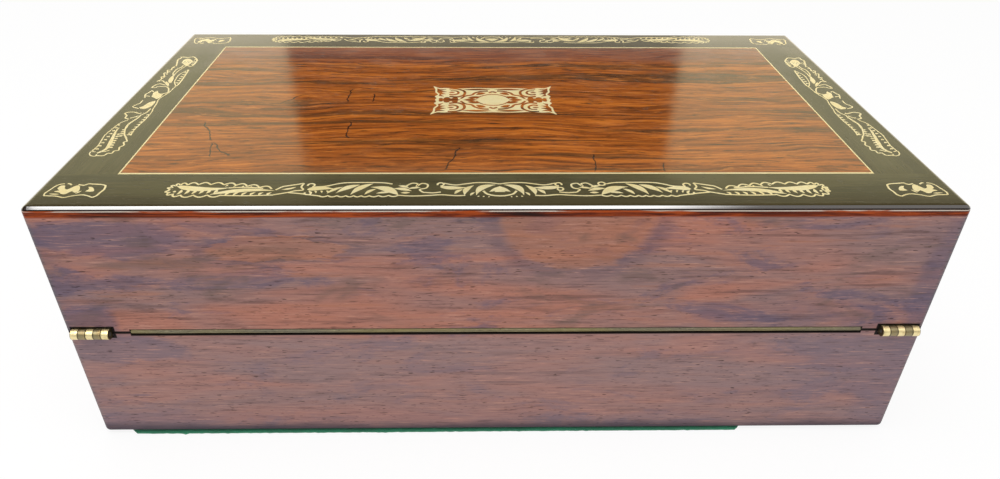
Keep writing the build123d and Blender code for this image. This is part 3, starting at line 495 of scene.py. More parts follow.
def hinge_brass(name, painted_light_share):
    """Hinge brass with painted shade in the gaps between its five knuckles; the share given paints the base's
    knuckles lit and the lid's shaded, as painted light and shade.
    """
    low, high = (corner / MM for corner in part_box("hinge_base_leaf_right"))
    finish = Finish(name)
    x, *_ = finish.place()
    knuckle = ((abs(x) - low.x) / ((high.x - low.x) / 5)).fraction()
    # Painted shade in the gaps between the knuckles.
    knuckle_gap_shade = abs(knuckle - 0.5).step(0.4, 0.47)
    cloud = finish.noise((2.2, 2.2, 2.2), 3, 0.6)
    tint = finish.coats(
        painted_light_share * colours().brass, (cloud.step(0.45, 0.7) * 0.4, (0.5, 0.32, 0.1)),
        (knuckle_gap_shade * 0.9, (0.05, 0.03, 0.012)),
    )
    return finish.surface(tint, 0.3 + cloud * 0.2, (cloud - knuckle_gap_shade, 0.05, 0.6), Metallic=0.6)


def inlay_brass(name):
    """Inlay brass: pale, dulled by fine rubbing, so that it stays light from any side."""
    finish = Finish(name)
    finish.place()
    cloud = finish.noise((9, 6, 5), 3, 0.6)
    fine = finish.noise((7, 0.12, 1), turn=3)
    cut = finish.noise((0.9, 0.28, 1), turn=35).step(0.6, 0.68)
    tint = finish.coats(
        (0.95, 0.8, 0.4), (cloud.step(0.3, 0.7) * 0.5, (1.0, 0.92, 0.6)), (cut * 0.35, (0.3, 0.21, 0.08))
    )
    rough = 0.24 + cloud * 0.14 + fine * 0.08
    return finish.surface(tint, rough, (fine, 0.012, 0.5), Metallic=0.3 - cut * 0.2)


def writing_leather(name, low, high):
    """Dark olive skiver with gilt lines tooled round it, ink spots and rubbed places."""
    leather = colours().leather
    finish = Finish(name)
    x, y, _ = finish.place()
    pebble = finish.node("ShaderNodeTexVoronoi", {"feature": "DISTANCE_TO_EDGE"}, finish.where, Scale=1.1)
    creases = pebble.step(0.0, 0.16)
    cloud = finish.noise((55, 40, 40), 4, 0.6)
    ink = finish.noise((7, 7, 7), 3, move=(2, 5, 0)).step(0.7, 0.73)
    worn = finish.noise((3, 3, 3), 3, 0.6)
    edge = (x - low.x / MM).least(high.x / MM - x).least(y - low.y / MM).least(high.y / MM - y)
    gilt = abs(edge - 9.0).step(0.55, 0.4).most(abs(edge - 11.4).step(0.3, 0.2))
    diamond = abs((x + y) * 0.55).fraction() - 0.5
    roll = abs(edge - 6.0).step(1.5, 1.3) * abs(diamond).step(0.3, 0.22)
    gilt = gilt.most(roll * 0.8) * worn.step(0.33, 0.48)
    # The creases of the pebble grain are darkened: painted shade.
    tint = finish.coats(
        leather, (cloud.step(0.35, 0.7), 1.8 * leather), ((1 - creases) * 0.5, 0.4 * leather),
        (ink * 0.7, (0.012, 0.012, 0.02)), (gilt, (0.72, 0.5, 0.18)),
    )
    rough = 0.52 - gilt * 0.2 + cloud * 0.15
    return finish.surface(tint, rough, (creases * 0.5 + cloud - gilt * 1.5, 0.09, 0.7), Metallic=gilt * 0.85)


def fold_leather(name):
    """The rubbed olive-gold back of the folded leather, with pale flecks and a line of painted shade where
    lid and base meet.
    """
    finish = Finish(name)
    _, y, z = finish.place()
    long_tone = finish.noise((70, 6, 6), 3)
    fleck = finish.noise((2.2, 0.5, 0.4), 3, 0.65)
    rise = z - (y + FRONT) * SEAM_SLOPE
    # Painted shade: a dark line along the fold where lid and base meet.
    fold_seam_shade = abs(rise - SEAM_HEIGHT).step(0.3, 0.1) * 0.6
    tint = finish.coats(
        (0.36, 0.3, 0.13), (long_tone.step(0.35, 0.65), (0.26, 0.235, 0.17)),
        (fleck.step(0.42, 0.3) * 0.6, (0.02, 0.016, 0.01)), (fleck.step(0.56, 0.7) * 0.8, (0.5, 0.44, 0.27)),
        (fold_seam_shade * 0.85, (0.02, 0.016, 0.01)),
    )
    return finish.surface(tint, 0.6 + fleck * 0.2, (fleck, 0.12, 0.7), IOR=1.3)


def baize_cloth(name):
    """Green wool baize with a felted nap."""
    green = colours().baize
    finish = Finish(name)
    finish.place()
    nap = finish.noise((0.55, 0.55, 0.55), 4, 0.7)
    patch = finish.noise((24, 24, 24), 3)
    tint = finish.coats(
        0.75 * green, (patch.step(0.35, 0.65), green), (nap.step(0.45, 0.75) * 0.5, (0.04, 0.36, 0.2))
    )
    return finish.surface(tint, 0.95, (nap, 0.5, 0.8), Sheen_Weight=0.5)


def cut_glass(name):
    """Clear glass with a faint grey-green tone."""
    finish = Finish(name)
    finish.place()
    ripple = finish.noise((9, 9, 12))
    return finish.surface(
        (0.86, 0.93, 0.91), 0.02 + ripple * 0.05, (ripple, 0.05, 0.4), IOR=1.5, Transmission_Weight=0.9
    )


def bright_steel(name):
    """Filed steel with brush marks."""
    finish = Finish(name)
    finish.place()
    brushed = finish.noise((6, 0.12, 1))
    spots = finish.noise((1.4, 1.4, 1.4), 3, 0.6).step(0.6, 0.7)
    tint = finish.mix(spots * 0.5, (0.46, 0.45, 0.43), (0.16, 0.09, 0.05))
    return finish.surface(tint, 0.28 + brushed * 0.2, (brushed, 0.01, 0.5), Metallic=0.95 - spots * 0.5)


# ---- Modelling by hand ----
def only(piece):
    """Selects one piece and makes it active."""
    bpy.ops.object.select_all(action="DESELECT")
    piece.select_set(True)
    bpy.context.view_layer.objects.active = piece


@contextmanager
def editing(piece):
    """Edit mode on one piece, with all of it selected."""
    only(piece)
    bpy.ops.object.mode_set(mode="EDIT")
    bpy.ops.mesh.select_all(action="SELECT")
    yield
    bpy.ops.object.mode_set(mode="OBJECT")


def pick_edges(piece, test):
    """Selects, in edit mode, the edges whose two ends pass the test together."""
    bpy.ops.mesh.select_all(action="DESELECT")
    bpy.ops.mesh.select_mode(type="EDGE")
    for edge in bmesh.from_edit_mesh(piece.data).edges:
        if test(edge.verts[0].co, edge.verts[1].co):
            edge.select_set(True)
    bmesh.update_edit_mesh(piece.data)


def slice_piece(place, way, **options):
    """Cuts the piece in edit mode by a plane."""
    bpy.ops.mesh.select_all(action="SELECT")
    bpy.ops.mesh.bisect(plane_co=place, plane_no=way, **options)


def start_from(kind, name, place, size, **options):
    """A cube or grid of that size at that place, with both in its mesh, ready to be shaped."""
    bpy.ops.object.select_all(action="DESELECT")
    {"CUBE": bpy.ops.mesh.primitive_cube_add, "GRID": bpy.ops.mesh.primitive_grid_add}[kind](
        size=1, location=place, **options
    )
    piece = bpy.context.object
    piece.name = piece.data.name = name
    piece.scale = size
    bpy.ops.object.transform_apply(location=True, rotation=True, scale=True)
    return piece


def added(name, data):
    """A new object in the scene."""
    thing = bpy.data.objects.new(name, data)
    bpy.context.collection.objects.link(thing)
    return thing


def settle(piece, body, material, replaces, smooth=30):
    """Finishes a piece: its place goes into its mesh, and it gets its material, slot and body."""
    only(piece)
    bpy.ops.object.transform_apply(location=True, rotation=True, scale=True)
    if smooth:
        bpy.ops.object.shade_smooth_by_angle(angle=math.radians(smooth))
    piece.data.materials.clear()
    piece.data.materials.append(material)
    if body:
        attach(piece, body)
    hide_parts(*replaces)
    return piece


def modify(piece, kind, **settings):
    """Adds a modifier and applies it."""
    only(piece)
    modifier = piece.modifiers.new(kind.title(), kind)
    for setting, value in settings.items():
        setattr(modifier, setting, value)
    bpy.ops.object.modifier_apply(modifier=modifier.name)


def lid_cap():
    """The top of the lid's rounded outer form, as thick as the veneer, from which each veneer is cut."""
    size = sizes()
    height = 0.02
    cap = start_from("CUBE", "lid_cap", (0, 0, TOP - height / 2), (2 * HALF_WIDTH, 2 * HALF_DEPTH, height))
    with editing(cap):
        pick_edges(cap, lambda a, b: abs(a.z - b.z) > height / 2)
        bpy.ops.mesh.bevel(offset=size.corner_radius, segments=6, affect="EDGES")
        pick_edges(cap, lambda a, b: min(a.z, b.z) > TOP - 1e-6)
        bpy.ops.mesh.bevel(offset=size.edge_radius, segments=7, affect="EDGES")
        slice_piece((0, 0, VENEER_BOTTOM), (0, 0, 1), use_fill=True, clear_inner=True)
        corner = 1.2 * size.corner_radius
        for sign in (1, -1):
            slice_piece((sign * (HALF_WIDTH - corner), 0, 0), (1, 0, 0))
        for sign in (1, -1):
            slice_piece((0, sign * (HALF_DEPTH - corner), 0), (0, 1, 0))
    return cap


def cut_veneer(cap, name, low, high):
    """A copy of the cap cut down to the box between two corners, seen from above."""
    piece = cap.copy()
    piece.data = cap.data.copy()
    piece.name = piece.data.name = name
    bpy.context.collection.objects.link(piece)
    with editing(piece):
        for corner, sign in ((low, 1), (high, -1)):
            for axis, half in enumerate((HALF_WIDTH, HALF_DEPTH)):
                if abs(corner[axis]) <= half - 2 * MM:
                    way = [0, 0, 0]
                    way[axis] = sign
                    slice_piece((corner[0], corner[1], TOP), way, use_fill=True, clear_inner=True)
    return piece


# ---- Drawing the inlay: lines and leaves in millimetres, as complex numbers ----
def curve(*points, steps=6):
    """A smooth line through the points."""
    ends = [2 * points[0] - points[1], *points, 2 * points[-1] - points[-2]]
    line = []
    for a, b, c, d in zip(ends, ends[1:], ends[2:], ends[3:]):
        for step in range(steps):
            t = step / steps
            line.append(b + 0.5 * t * (c - a + t * (2 * a - 5 * b + 4 * c - d + t * (3 * (b - c) + d - a))))
    return line + [points[-1]]


def ribbon(line, width, start=1.0, end=1.0):
    """The outline of a strip along a line, whose ends have those shares of its width."""
    left, right = [], []
    last = len(line) - 1
    for index, point in enumerate(line):
        way = line[min(index + 1, last)] - line[max(index - 1, 0)]
        side = 1j * way / abs(way) * width / 2 * (start + (end - start) * index / last)
        left.append(point + side)
        right.append(point - side)
    return left + right[::-1]


def strokes(*rows):
    """Ribbons along curves; a row is the width and the curve's points."""
    return [ribbon(curve(*points), width) for width, *points in rows]


def leaf(root, tip, width, bend=0.0, fat=1.0, steps=12):
    """A pointed leaf; bend is how far its middle stands off, and fat below 1 fattens its root."""
    side = 1j * (tip - root) / abs(tip - root)
    left, right = [], []
    for step in range(1, steps):
        t = step / steps
        middle = root + (tip - root) * t + side * bend * 4 * t * (1 - t)
        half = side * width / 2 * math.sin(math.pi * t**fat)
        left.append(middle + half)
        right.append(middle - half)
    return [root, *left, tip, *right[::-1]]


def leaves(*rows):
    """Leaves; a row is the root, the tip and the width, then bend and fat."""
    return [leaf(*row) for row in rows]


def disc(centre, radius, sides=12):
    """A round dot."""
    return [centre + cmath.rect(radius, 2 * math.pi * side / sides) for side in range(sides)]


def ring(centre, radius, width, start=0.0, turn=360.0):
    """A round line, or a part of one."""
    steps = max(6, round(abs(turn) / 24))
    angles = (math.radians(start + turn * step / steps) for step in range(steps + 1))
    return ribbon([centre + cmath.rect(radius, angle) for angle in angles], width)


def scalloped(line, count, depth, width):
    """A line that swells out in a row of scallops on its left."""
    last = len(line) - 1
    waved = []
    for index in range(last * 3 + 1):
        place = index / 3
        whole = min(int(place), last - 1)
        way = line[whole + 1] - line[whole]
        lift = depth * abs(math.sin(math.pi * count * place / last))
        waved.append(line[whole] + way * (place - whole) + 1j * way / abs(way) * lift)
    return ribbon(waved, width)


def comb(start, end, count, reach, width):
    """A row of small teeth from a line, all leaning the same way."""
    teeth = []
    for tooth in range(count):
        root = start + (end - start) * tooth / (count - 1)
        tip = root + reach * (1 - 0.3 * tooth / count)
        teeth.append(leaf(root, tip, width, 0.12 * abs(reach), 0.8, 6))
    return teeth


def combs(*rows):
    """Rows of teeth, each as comb takes it."""
    return [tooth for row in rows for tooth in comb(*row)]


def placed(shapes, move=0j, turn=0.0):
    """Shapes turned about the origin and then moved."""
    spin = cmath.rect(1, math.radians(turn))
    return [[point * spin + move for point in shape] for shape in shapes]


def mirrored(shapes):
    """Shapes mirrored from side to side."""
    return [[-point.conjugate() for point in shape] for shape in shapes]


def two_ways(shapes):
    """Shapes and their mirror images from side to side."""
    return shapes + mirrored(shapes)


def four_ways(shapes):
    """Shapes for one quarter, and their mirror images in the other three."""
    half = two_ways(shapes)
    return half + [[point.conjugate() for point in shape] for shape in half]


def acanthus(long, line):
    """A toothed leaf from its tip at the origin: scalloped edges, a thick vein, and combs of teeth."""
    s = long / 50
    top = curve(1.5+0.2j, 3.2*s+3j, 7*s+4.2j, 16*s+4.5j, 27*s+4.2j, 37*s+2.9j, 48*s+0.6j)
    low = curve(26.5*s-4.4j, 17*s-4.6j, 8*s-4.5j, 3.2*s-3j, 1.5-0.2j)
    return [
        scalloped(top, 11, 1.9, line), scalloped(low, 6, 1.8, line),
        *strokes((line, 26.5*s-4.9j, 38*s-5.2j, 50*s-4.6j), (line, 28*s+1.6j, 36*s+2.2j, 44*s+1.2j)),
        *leaves((3.6*s+3.2j, 29*s+1.9j, 3.9, -2.0, 0.62), (21*s-4.2j, 50*s-1j, 3.0, 2.1, 0.8)),
        *combs(
            (7*s+0.2j, 23*s+0.2j, 6, -0.9-4.4j, 1.5), (28*s-4.9j, 47*s-4.7j, 6, 2.2+3j, 1.3),
            (27*s+4.6j, 42*s+2.6j, 5, -1.2*s-1.7j, 0.8),
        ),
        ring(1.6, 1.3, line), disc(4.3*s-1.6j, 0.7, 8),
    ]


def near_half(line):
    """The left half of a long band."""
    return placed(acanthus(47.0, line), -144.0) + strokes(
        (line, -97-0.2j, -94.6+2.6j, -92.6+3.4j, -89+4.6j, -85.8+5.6j),
        (line, -85.8+5.6j, -86.4+2.4j, -85.2-0.2j, -88.6-1j, -91.2-2.4j, -97-4.4j),
        (line, -91-2.6j, -86-3.4j, -82-4.4j, -77.5-5.4j),
        (line, -80.6+2.4j, -76+3j, -71.3+5.1j, -67.3+6.1j, -60+6.3j, -51.5+6.1j, -47+4.9j),
        (line, -41+3j, -38.5+5.6j, -36+5j, -36.4+2.6j, -34.2+5.4j, -31.6+4.4j, -32+1.4j, -34.8+0j,
         -33.2-2.5j),
        (line, -43.6-5j, -38-5.6j, -31-5.2j, -25.2-4.6j, -19-5.4j, -15-5.1j),
        (line, -33.2-2.5j, -29-2.9j, -25.6-2.2j),
        (line, -24.6+5.6j, -19.6+4j, -15+5j, -10+6.1j, -4+5.9j, 4.9j),
        (1.2 * line, -7.2-1.2j, -5.6-3.9j, -2.6-5.3j, -5.6j),
    ) + leaves(
        (-94.5+0.2j, -88.5+2.4j, 1.3, -0.5), (-83.6+0.2j, -71.6+0.6j, 3.5, 0.9, 0.6),
        (-70.6-3.2j, -61.2+4.3j, 3.1, 1.2, 1.2), (-64.2-4.6j, -55.4+5.3j, 3.2, 1.5, 1.1),
        (-74.4-3.4j, -68.2+2.4j, 1.9, 0.8), (-58.2-4.4j, -53.6+0.6j, 1.8, 0.7),
        (-56.4+2.2j, -43.6-4.9j, 4.3, 2.1, 1.15), (-53.4-3.4j, -47.2-2.6j, 1.6, 0.5),
        (-46.2+0.9j, -38.2-1.2j, 2.3, 0.6), (-44.4+3.4j, -39.4+1.4j, 1.7, 0.4),
        (-42.8-2.8j, -38.8-2.7j, 1.5), (-40+0.6j, -34.4+1.6j, 1.5, 0.5),
        (-26.2+2.4j, -14.2+1.8j, 3.0, -0.7, 0.7), (-19.6-3.9j, -16+0.2j, 1.8, 0.6),
        (-15.2-4.9j, -11.2+3.7j, 2.6, 1.5), (-10.2-5.2j, -1.6+4.2j, 3.5, 2.9, 1.1),
        (-12.8-5.4j, -10.8-2.4j, 1.2, 0.4), (-4.6-1.9j, 0.1+2.9j, 2.3, -0.5),
    ) + combs((-82.6-0.9j, -75-0.7j, 4, 0.9-2.5j, 0.9), (-9-5.4j, -4.6-5.9j, 3, -0.9-0.9j, 0.7)) + [
        scalloped(curve(-43.6-5j, -56-5.3j, -66-5.3j, -77.6-5.2j), 9, 1.0, line),
        ring(-82.4+3.9j, 1.5, line, -60, 260), ring(-82.6-3j, 1.4, line, 60, -260),
        ring(-45+5j, 1.5, line), ring(-25.9+4.6j, 1.4, line, -90, 300), ring(-26.4+0.4j, 1.3, line),
        [-2.4-2.2j, 0.02-2.2j, 0.02+2.4j, -1.2+0.6j],
    ]


def side_band(line):
    """The left band, drawn along the first axis from its near end, with the panel on its lower side."""
    fine = 0.7 * line
    bold, heavy = 1.3 * fine, 1.4 * fine
    return strokes(
        (fine, -64.7+3.2j, -66.8+3.1j, -66.2+5.3j, -64.2+6.7j, -61.8+6.8j, -62.4+4.8j),
        (fine, -62+6.8j, -56.5+6.3j, -51.9+6.8j, -47.3+7.5j, -43.8+7.9j, -38+7.3j, -30.3+6.2j, -26.1+3.6j),
        (bold, -63.8+3.3j, -62.2+2j, -61.8+0.5j, -60.6-1.1j), (fine, -44.2-4.9j, -41.6-2.8j),
        (fine, -44.2-4.9j, -40.3-4.3j, -35.3-4.2j, -26.1-4.9j, -16.9-4.9j, -11.9-4.1j, -4.8-3.4j, 0.4-2.5j,
         4.7-3.1j, 8-4.1j, 11.8-4.8j, 18-5.2j, 19.7-5.4j),
        (bold, -46.8-3.7j, -43.8-1.6j, -39.4+0j, -34.9+1.3j),
        (1.2 * fine, -22.7-0.6j, -19.8-0.7j, -16.9-2.3j, -11.4-2.7j),
        (heavy, -25.1+3.4j, -23.5+6j, -20.8+6.3j, -17.9+8.2j, -16.4+7.4j, -16.1+4.3j, -17.9+0.9j, -16.9+0.2j),
        (heavy, -23.7+3.4j, -22.7+1.8j, -20.8+0.2j),
        (1.2 * fine, -11.4+3.7j, -9.1+7.6j, -6.4+6.8j, -4.3+5.6j, -0.1+5.7j),
        (bold, 3.1+5.8j, 7.9+7.2j, 10.1+6.3j, 12.9+5.7j, 11.8+4j), (bold, 5.8+6j, 5.2+3.9j),
        (bold, 8.5-1.4j, 10.7-4j, 16.3-2.5j, 19.1-0.2j, 19.3+4.1j, 18+5.4j, 18+7.3j, 22+6.4j, 23.4+4.6j,
         21.6+1j),
        (bold, 27.2+7.8j, 28.4+5.6j, 26+3.1j, 20.3-1.1j),
        (1.2 * fine, 27.2+7.8j, 30.5+6.6j, 34.4+7.7j, 33.8+5.9j, 40.5+8.3j, 40.2+6.5j, 45.3+7.9j, 45+6.1j,
         50+6.4j, 52.6+5.2j),
        (1.5 * fine, 52.6+5.2j, 58.5+6.7j, 63.2+7.8j, 65.2+6.8j, 67.9+6.8j, 66.9+3.6j, 67.5+1.4j, 67.6-0.7j,
         62.5-4j, 58.5-4.4j, 52-4.4j),
        (bold, 37+1.8j, 40.5+3j, 46.8+3j, 49.4+1.6j, 53.2+1.1j), (fine, 35+1j, 40.5+1.4j, 46+0.8j, 52-0.6j),
        (fine, 19.7-5.4j, 26.1-2.6j, 33.8-1.4j, 39.3-1.7j, 45.8-4.3j),
        (heavy, 19.7-5.4j, 23.2-5.9j, 34.4-5.4j, 45.8-4.3j),
        (bold, 53.3-0.7j, 51.3-3.6j, 55.9-4.8j, 62.5-4.2j),
    ) + [
        ribbon(curve(-66.2+3.2j, -66.2-0.6j, -63.8-1.6j, -63.8-3.5j, -61.4-3.6j, -60.6-5.4j, -57.3-4.6j,
         -55.3-5.8j, -51.9-4.4j, -50.7-5.5j, -46.4-3.1j, steps=4), bold),
        ribbon(curve(-63.4+3.6j, -61.4+1.9j, -58.1+1j, -52.8+1.7j), 2.0, 0.4, 1),
        ribbon(curve(-52.8+1.7j, -45.5+3.2j, -39.4+4.3j, -35.3+4.4j), 2.0, 1, 0.2),
        ribbon(curve(-36+0.9j, -31.2+1.3j, -26.5+0.3j, -22.7-0.6j), 1.6, 0.7, 0.6),
        curve(-9.9+3.9j, -8.4+2.4j, -3.8+1.3j, -1.2-1.3j, -4.8-2.2j, -9.4-1.6j, -11.9+0.3j, -11.4+2.9j,
         steps=3),
        curve(10.1+3.8j, 12.9+2.3j, 9.6+0.7j, 8.5-1.9j, 4.7-2.4j, 1.5-1.3j, 3.1+0.7j, 4.4+2.6j, steps=3),
        curve(53.3-1.7j, 52-0.7j, 56+2.4j, 58.5+3.8j, 63.2+3.9j, 64.4+1.2j, 60-2.4j, steps=3),
        leaf(27+2.4j, 19.8-1.2j, 1.7), leaf(24.3-0.6j, 37+1.8j, 2.7, 0.3, 0.8), ring(57.8+5j, 1.1, 0.5),
    ] + combs(
        (-59+6.3j, -32+6.6j, 9, -0.9-2j, 1.4), (-57.5+0.6j, -43+2.6j, 7, -0.4-2.3j, 1.4),
        (-44.5-1.2j, -37.5+0.4j, 4, -0.3+2.4j, 1.4), (-42.5-4.6j, -19-4.9j, 9, -1.2+2.3j, 1.4),
        (25-5.2j, 41-4.6j, 6, 0.5+2j, 1.4), (31+7j, 49+6.2j, 6, 0.6-1.6j, 1.4),
        (55-4.2j, 63-3.4j, 4, 0.4+1.6j, 1.4),
    )


def flower_slits():
    """The engraved slits of the side band's flower."""
    middle, inner, outer = 58.8+1j, 0.8, 2.2
    ways = (cmath.rect(1, math.radians(60 * step)) for step in range(6))
    return [ribbon([middle + inner * way, middle + outer * way], 0.3) for way in ways]


def corner_cartouche(line):
    """The ribbon-like corner ornament, for the near left corner, with its pointed end outwards."""
    return strokes(
        (line, -11-5j, -11.5-2.9j, -10.8+0j, -10+3.1j, -8.7+5j, -6.9+5.5j),
        (1.1 * line, -5.7+5.6j, -4.6+5.4j, -3.4+4.3j),
        (1.1 * line, -0.6+4.8j, 1.9+4.1j, 3.5+5.4j, 5.4+5.2j, 9.4+4.7j, 11.5+3.9j),
        (1.3 * line, 11.5+3.9j, 12.2+0.4j, 11.6-2.4j, 11.2-5j, 10-6.4j),
        (line, 10-6.4j, 6.9-4.8j, 4.4-4.3j, 0.7-5.3j, -2.2-6.5j, -5.8-5.3j, -11-5j),
    ) + [
        curve(-8.1+1.2j, -8+3.6j, -6+3.8j, -5.2+1.6j, -3.6+0.4j, -1.8+3.1j, -0.4+4.1j, 1.1+2.2j, 2-1j,
         0.9-2.4j, -1-1.2j, -2.6-3.6j, -4.6-3.4j, -5.8-2.2j, -8.4-1.4j, -6.6-0.4j, steps=3),
        curve(4.8-1.3j, 5.6+0.8j, 4.6+2.6j, 6.3+2.4j, 7.8+0.6j, 8.4-1.2j, 6.8-1.6j, steps=3),
    ] + leaves((-9.6-3.4j, -5-3.8j, 0.9), (1.4-3.4j, 3.2-0.6j, 0.8))


def centre_plate():
    """The outline of the centre ornament: a long plate with drawn-in sides and horned corners."""
    quarter = curve(
        16j, 10+16.4j, 20+15.6j, 27+16.4j, 31+16.2j, 34.6+18.8j, 33.4+14.6j, 33.2+10.4j, 31.6+7.2j,
        33.2+4.6j, 32.2+2.4j, 33+0j, steps=4,
    )
    half = quarter + [point.conjugate() for point in quarter[-2::-1]]
    return [half + [-point.conjugate() for point in half[-2:0:-1]]]


def centre_voids():
    """What is sawn out of the centre ornament; the pointed oval in its middle stays bare."""
    quarter = [
        leaf(0.8+14.2j, 17.6+13.7j, 2.4, 0.3),
        [32.4+16j, 30.4+14.6j, 26.6+14.2j, 29.8+12.4j, 26.2+11j, 29.6+9.8j, 26.6+7.8j, 30+7.4j, 27.8+4.4j,
         31+5.4j, 30.6+8j, 32.2+11j, 32.2+13.6j],
        ribbon(curve(25.2+15j, 20.4+14.8j, 16.4+11.6j, 16.6+6.6j, 20.4+3.9j, 24.8+4.6j), 2.7, 0.5, 0.7),
        ribbon(curve(24.4+12.4j, 20.8+12j, 19.8+9j, 22.2+6.9j, 25+7.4j), 2.1, 0.5, 0.8),
        leaf(21.6+9.4j, 25.6+10j, 1.6, 0.3), leaf(8.8+0j, 16.8+0j, 3.4),
        ribbon(curve(18.4+1.6j, 15.6+5.2j, 12+6.6j, 10.2+9.4j, 6.4+11.6j, 2.6+12.2j), 1.7, 0.8, 1),
        leaf(14.6+2.6j, 7.8+4.6j, 3.2, 0.5), leaf(9.6+6.6j, 3.8+9.4j, 3.2, -0.6),
        ribbon(curve(9.4+1.6j, 6.8+4.8j, 3.4+6.8j, 7.4j), 0.9), disc(21.6+1.6j, 1.9, 8),
        disc(26.2+1.8j, 1.9, 8), disc(29.6+1.2j, 1.3, 8),
    ]
    return four_ways(quarter) + two_ways([leaf(-31+0j, -18.2+0j, 4.0)]) + [
        ribbon(curve(-2.2 + side * 9.8j, side * 11j, 2.2 + side * 9.8j), 2.6, 0.6, 0.6) for side in (1, -1)
    ]


def cut_brass(name, shapes, holes, material, node):
    """A flat brass piece sawn to the union of its shapes less its holes, let into the veneer."""
    points, outlines = [], []
    for shape in [*shapes, *holes]:
        area = sum((a.conjugate() * b).imag for a, b in zip(shape, [*shape[1:], shape[0]]))
        shape = shape if area > 0 else shape[::-1]
        outlines.append(list(range(len(points), len(points) + len(shape))))
        points += [Vector((point.real, point.imag)) for point in shape]
    spots, _, cells, _, _, origins = delaunay_2d_cdt(points, [], outlines, 1, 1e-4, True)
    kept = [
        cell for cell, inside in zip(cells, origins)
        if inside and all(index < len(shapes) for index in inside)
    ]
    height = TOP + sizes().inlay_proud
    data = bpy.data.meshes.new(name)
    data.from_pydata([(spot.x * MM, spot.y * MM, height) for spot in spots], [], kept)
    piece = added(name, data)
    with editing(piece):
        bpy.ops.mesh.delete_loose()
        bpy.ops.mesh.select_all(action="SELECT")
        bpy.ops.mesh.dissolve_limited(angle_limit=math.radians(1))
    modify(piece, "SOLIDIFY", thickness=0.4 * MM, offset=-1.0)
    return settle(piece, "lid", material, (node,), smooth=0)


# ---- The studio ----
def light_paths(finish):
    """Whether a ray comes from the camera, from a mirror or through glass."""
    path = finish.node("ShaderNodeLightPath").socket.node
    return [Value(finish, path.outputs[f"Is {kind} Ray"]) for kind in ("Camera", "Glossy", "Transmission")]


def studio_floor():
    """A pale floor that shines towards the camera and in mirrors."""
    bpy.ops.object.select_all(action="DESELECT")
    bpy.ops.mesh.primitive_plane_add(size=12, location=(0, 0, -FLOOR_DROP))
    floor = bpy.context.object
    floor.name = "studio_floor"
    finish = Finish("studio_floor")
    camera, glossy, clear = light_paths(finish)
    lit = finish.node("ShaderNodeBsdfDiffuse", None, (0.8, 0.8, 0.8))
    glow = finish.node("ShaderNodeEmission", None, (1, 1, 1), FLOOR_GLOW)
    seen = camera.most(glossy).most(clear)
    mixed = finish.node("ShaderNodeMixShader", None, seen * 0.8, lit, glow)
    finish.node("ShaderNodeOutputMaterial", None, mixed)
    floor.data.materials.append(finish.owner)


def studio_sky(studio):
    """Even light, and what polish and brass mirror: two windows, a near glow and a strip for the edges."""
    world = bpy.data.worlds.new("studio_world")
    bpy.context.scene.world = world
    sky = Finish(owner=world)
    camera, glossy, clear = light_paths(sky)
    x, y, z = sky.axes(sky.node("ShaderNodeTexCoord"))
    degrees = 180 / math.pi
    turn = x.arctangent(y) * degrees
    rise = z.arcsine() * degrees
    sweep = z.arctangent(y) * degrees
    window = abs(turn - 0.6).step(14.9, 15.5) * rise.step(56, 46) * sweep.step(60, 54)
    low = sweep.step(19.0, 17.9) * 1.2
    near = sweep.step(31, 28.8)
    glow = near * sweep.step(27.3, 28.5) * (1 - window) * 0.8
    ends = x.step(-0.5125, -0.5095) * (x.step(0.36, 0.2) * 0.88 + 0.12)
    strip = sweep.step(66, 71) * sweep.step(142, 136) * ends * studio.edge
    mirror = window * studio.window * (near * 0.85 + 0.15) + glow + low + strip + 0.05
    even = studio.ambient + camera.most(clear) * (1.0 - studio.ambient)
    tint = sky.coats(
        (1.0, 0.985, 0.97), ((window + glow).step(0, 0.2) * glossy, (1.0, 0.95, 0.62)),
        (low * glossy, (1.0, 0.9, 0.72)),
    )
    back = sky.node("ShaderNodeBackground", None, tint, glossy * mirror + (1 - glossy) * even)
    sky.node("ShaderNodeOutputWorld", None, back)


def studio_lamp(name, place, width, depth, power):
    """A soft rectangular lamp that looks at the box."""
    light = bpy.data.lights.new(name, "AREA")
    light.shape, light.size, light.size_y, light.energy = "RECTANGLE", width, depth, power
    lamp = added(name, light)
    lamp.location = place
    lamp.rotation_euler = (LIGHT_TARGET - lamp.location).to_track_quat("-Z", "Y").to_euler()


def studio_camera():
    """The camera, fitted to the photo."""
    lens = bpy.data.cameras.new("camera")
    lens.sensor_width, lens.lens, lens.shift_x, lens.clip_start = 36.0, 26.83, 0.0106, 0.01
    camera = added("camera", lens)
    camera.matrix_world = (
        Matrix.Translation(CAMERA_PLACE) @ Matrix.Rotation(CAMERA_YAW, 4, "Z")
        @ Matrix.Rotation(math.pi / 2 - CAMERA_PITCH, 4, "X") @ Matrix.Rotation(CAMERA_ROLL, 4, "Z")
    )
    bpy.context.scene.camera = camera


# ---- Operators ----
class SLOPE_OT_studio(bpy.types.Operator):
    """Floor, soft light and the camera at the height of a person looking down on the box"""

    bl_idname = "slope.studio"
    bl_label = "Studio"

    def execute(self, context):
        studio = context.scene.slope_studio
        studio_floor()
        studio_sky(studio)
        studio_lamp("key", (-0.15, -0.2, 1.25), 1.3, 0.7, studio.key)
        studio_lamp("front", (0.0, -1.5, 0.5), 1.6, 0.8, studio.key * 0.55)
        studio_camera()
        context.scene.view_settings.view_transform = "Standard"
        return {"FINISHED"}


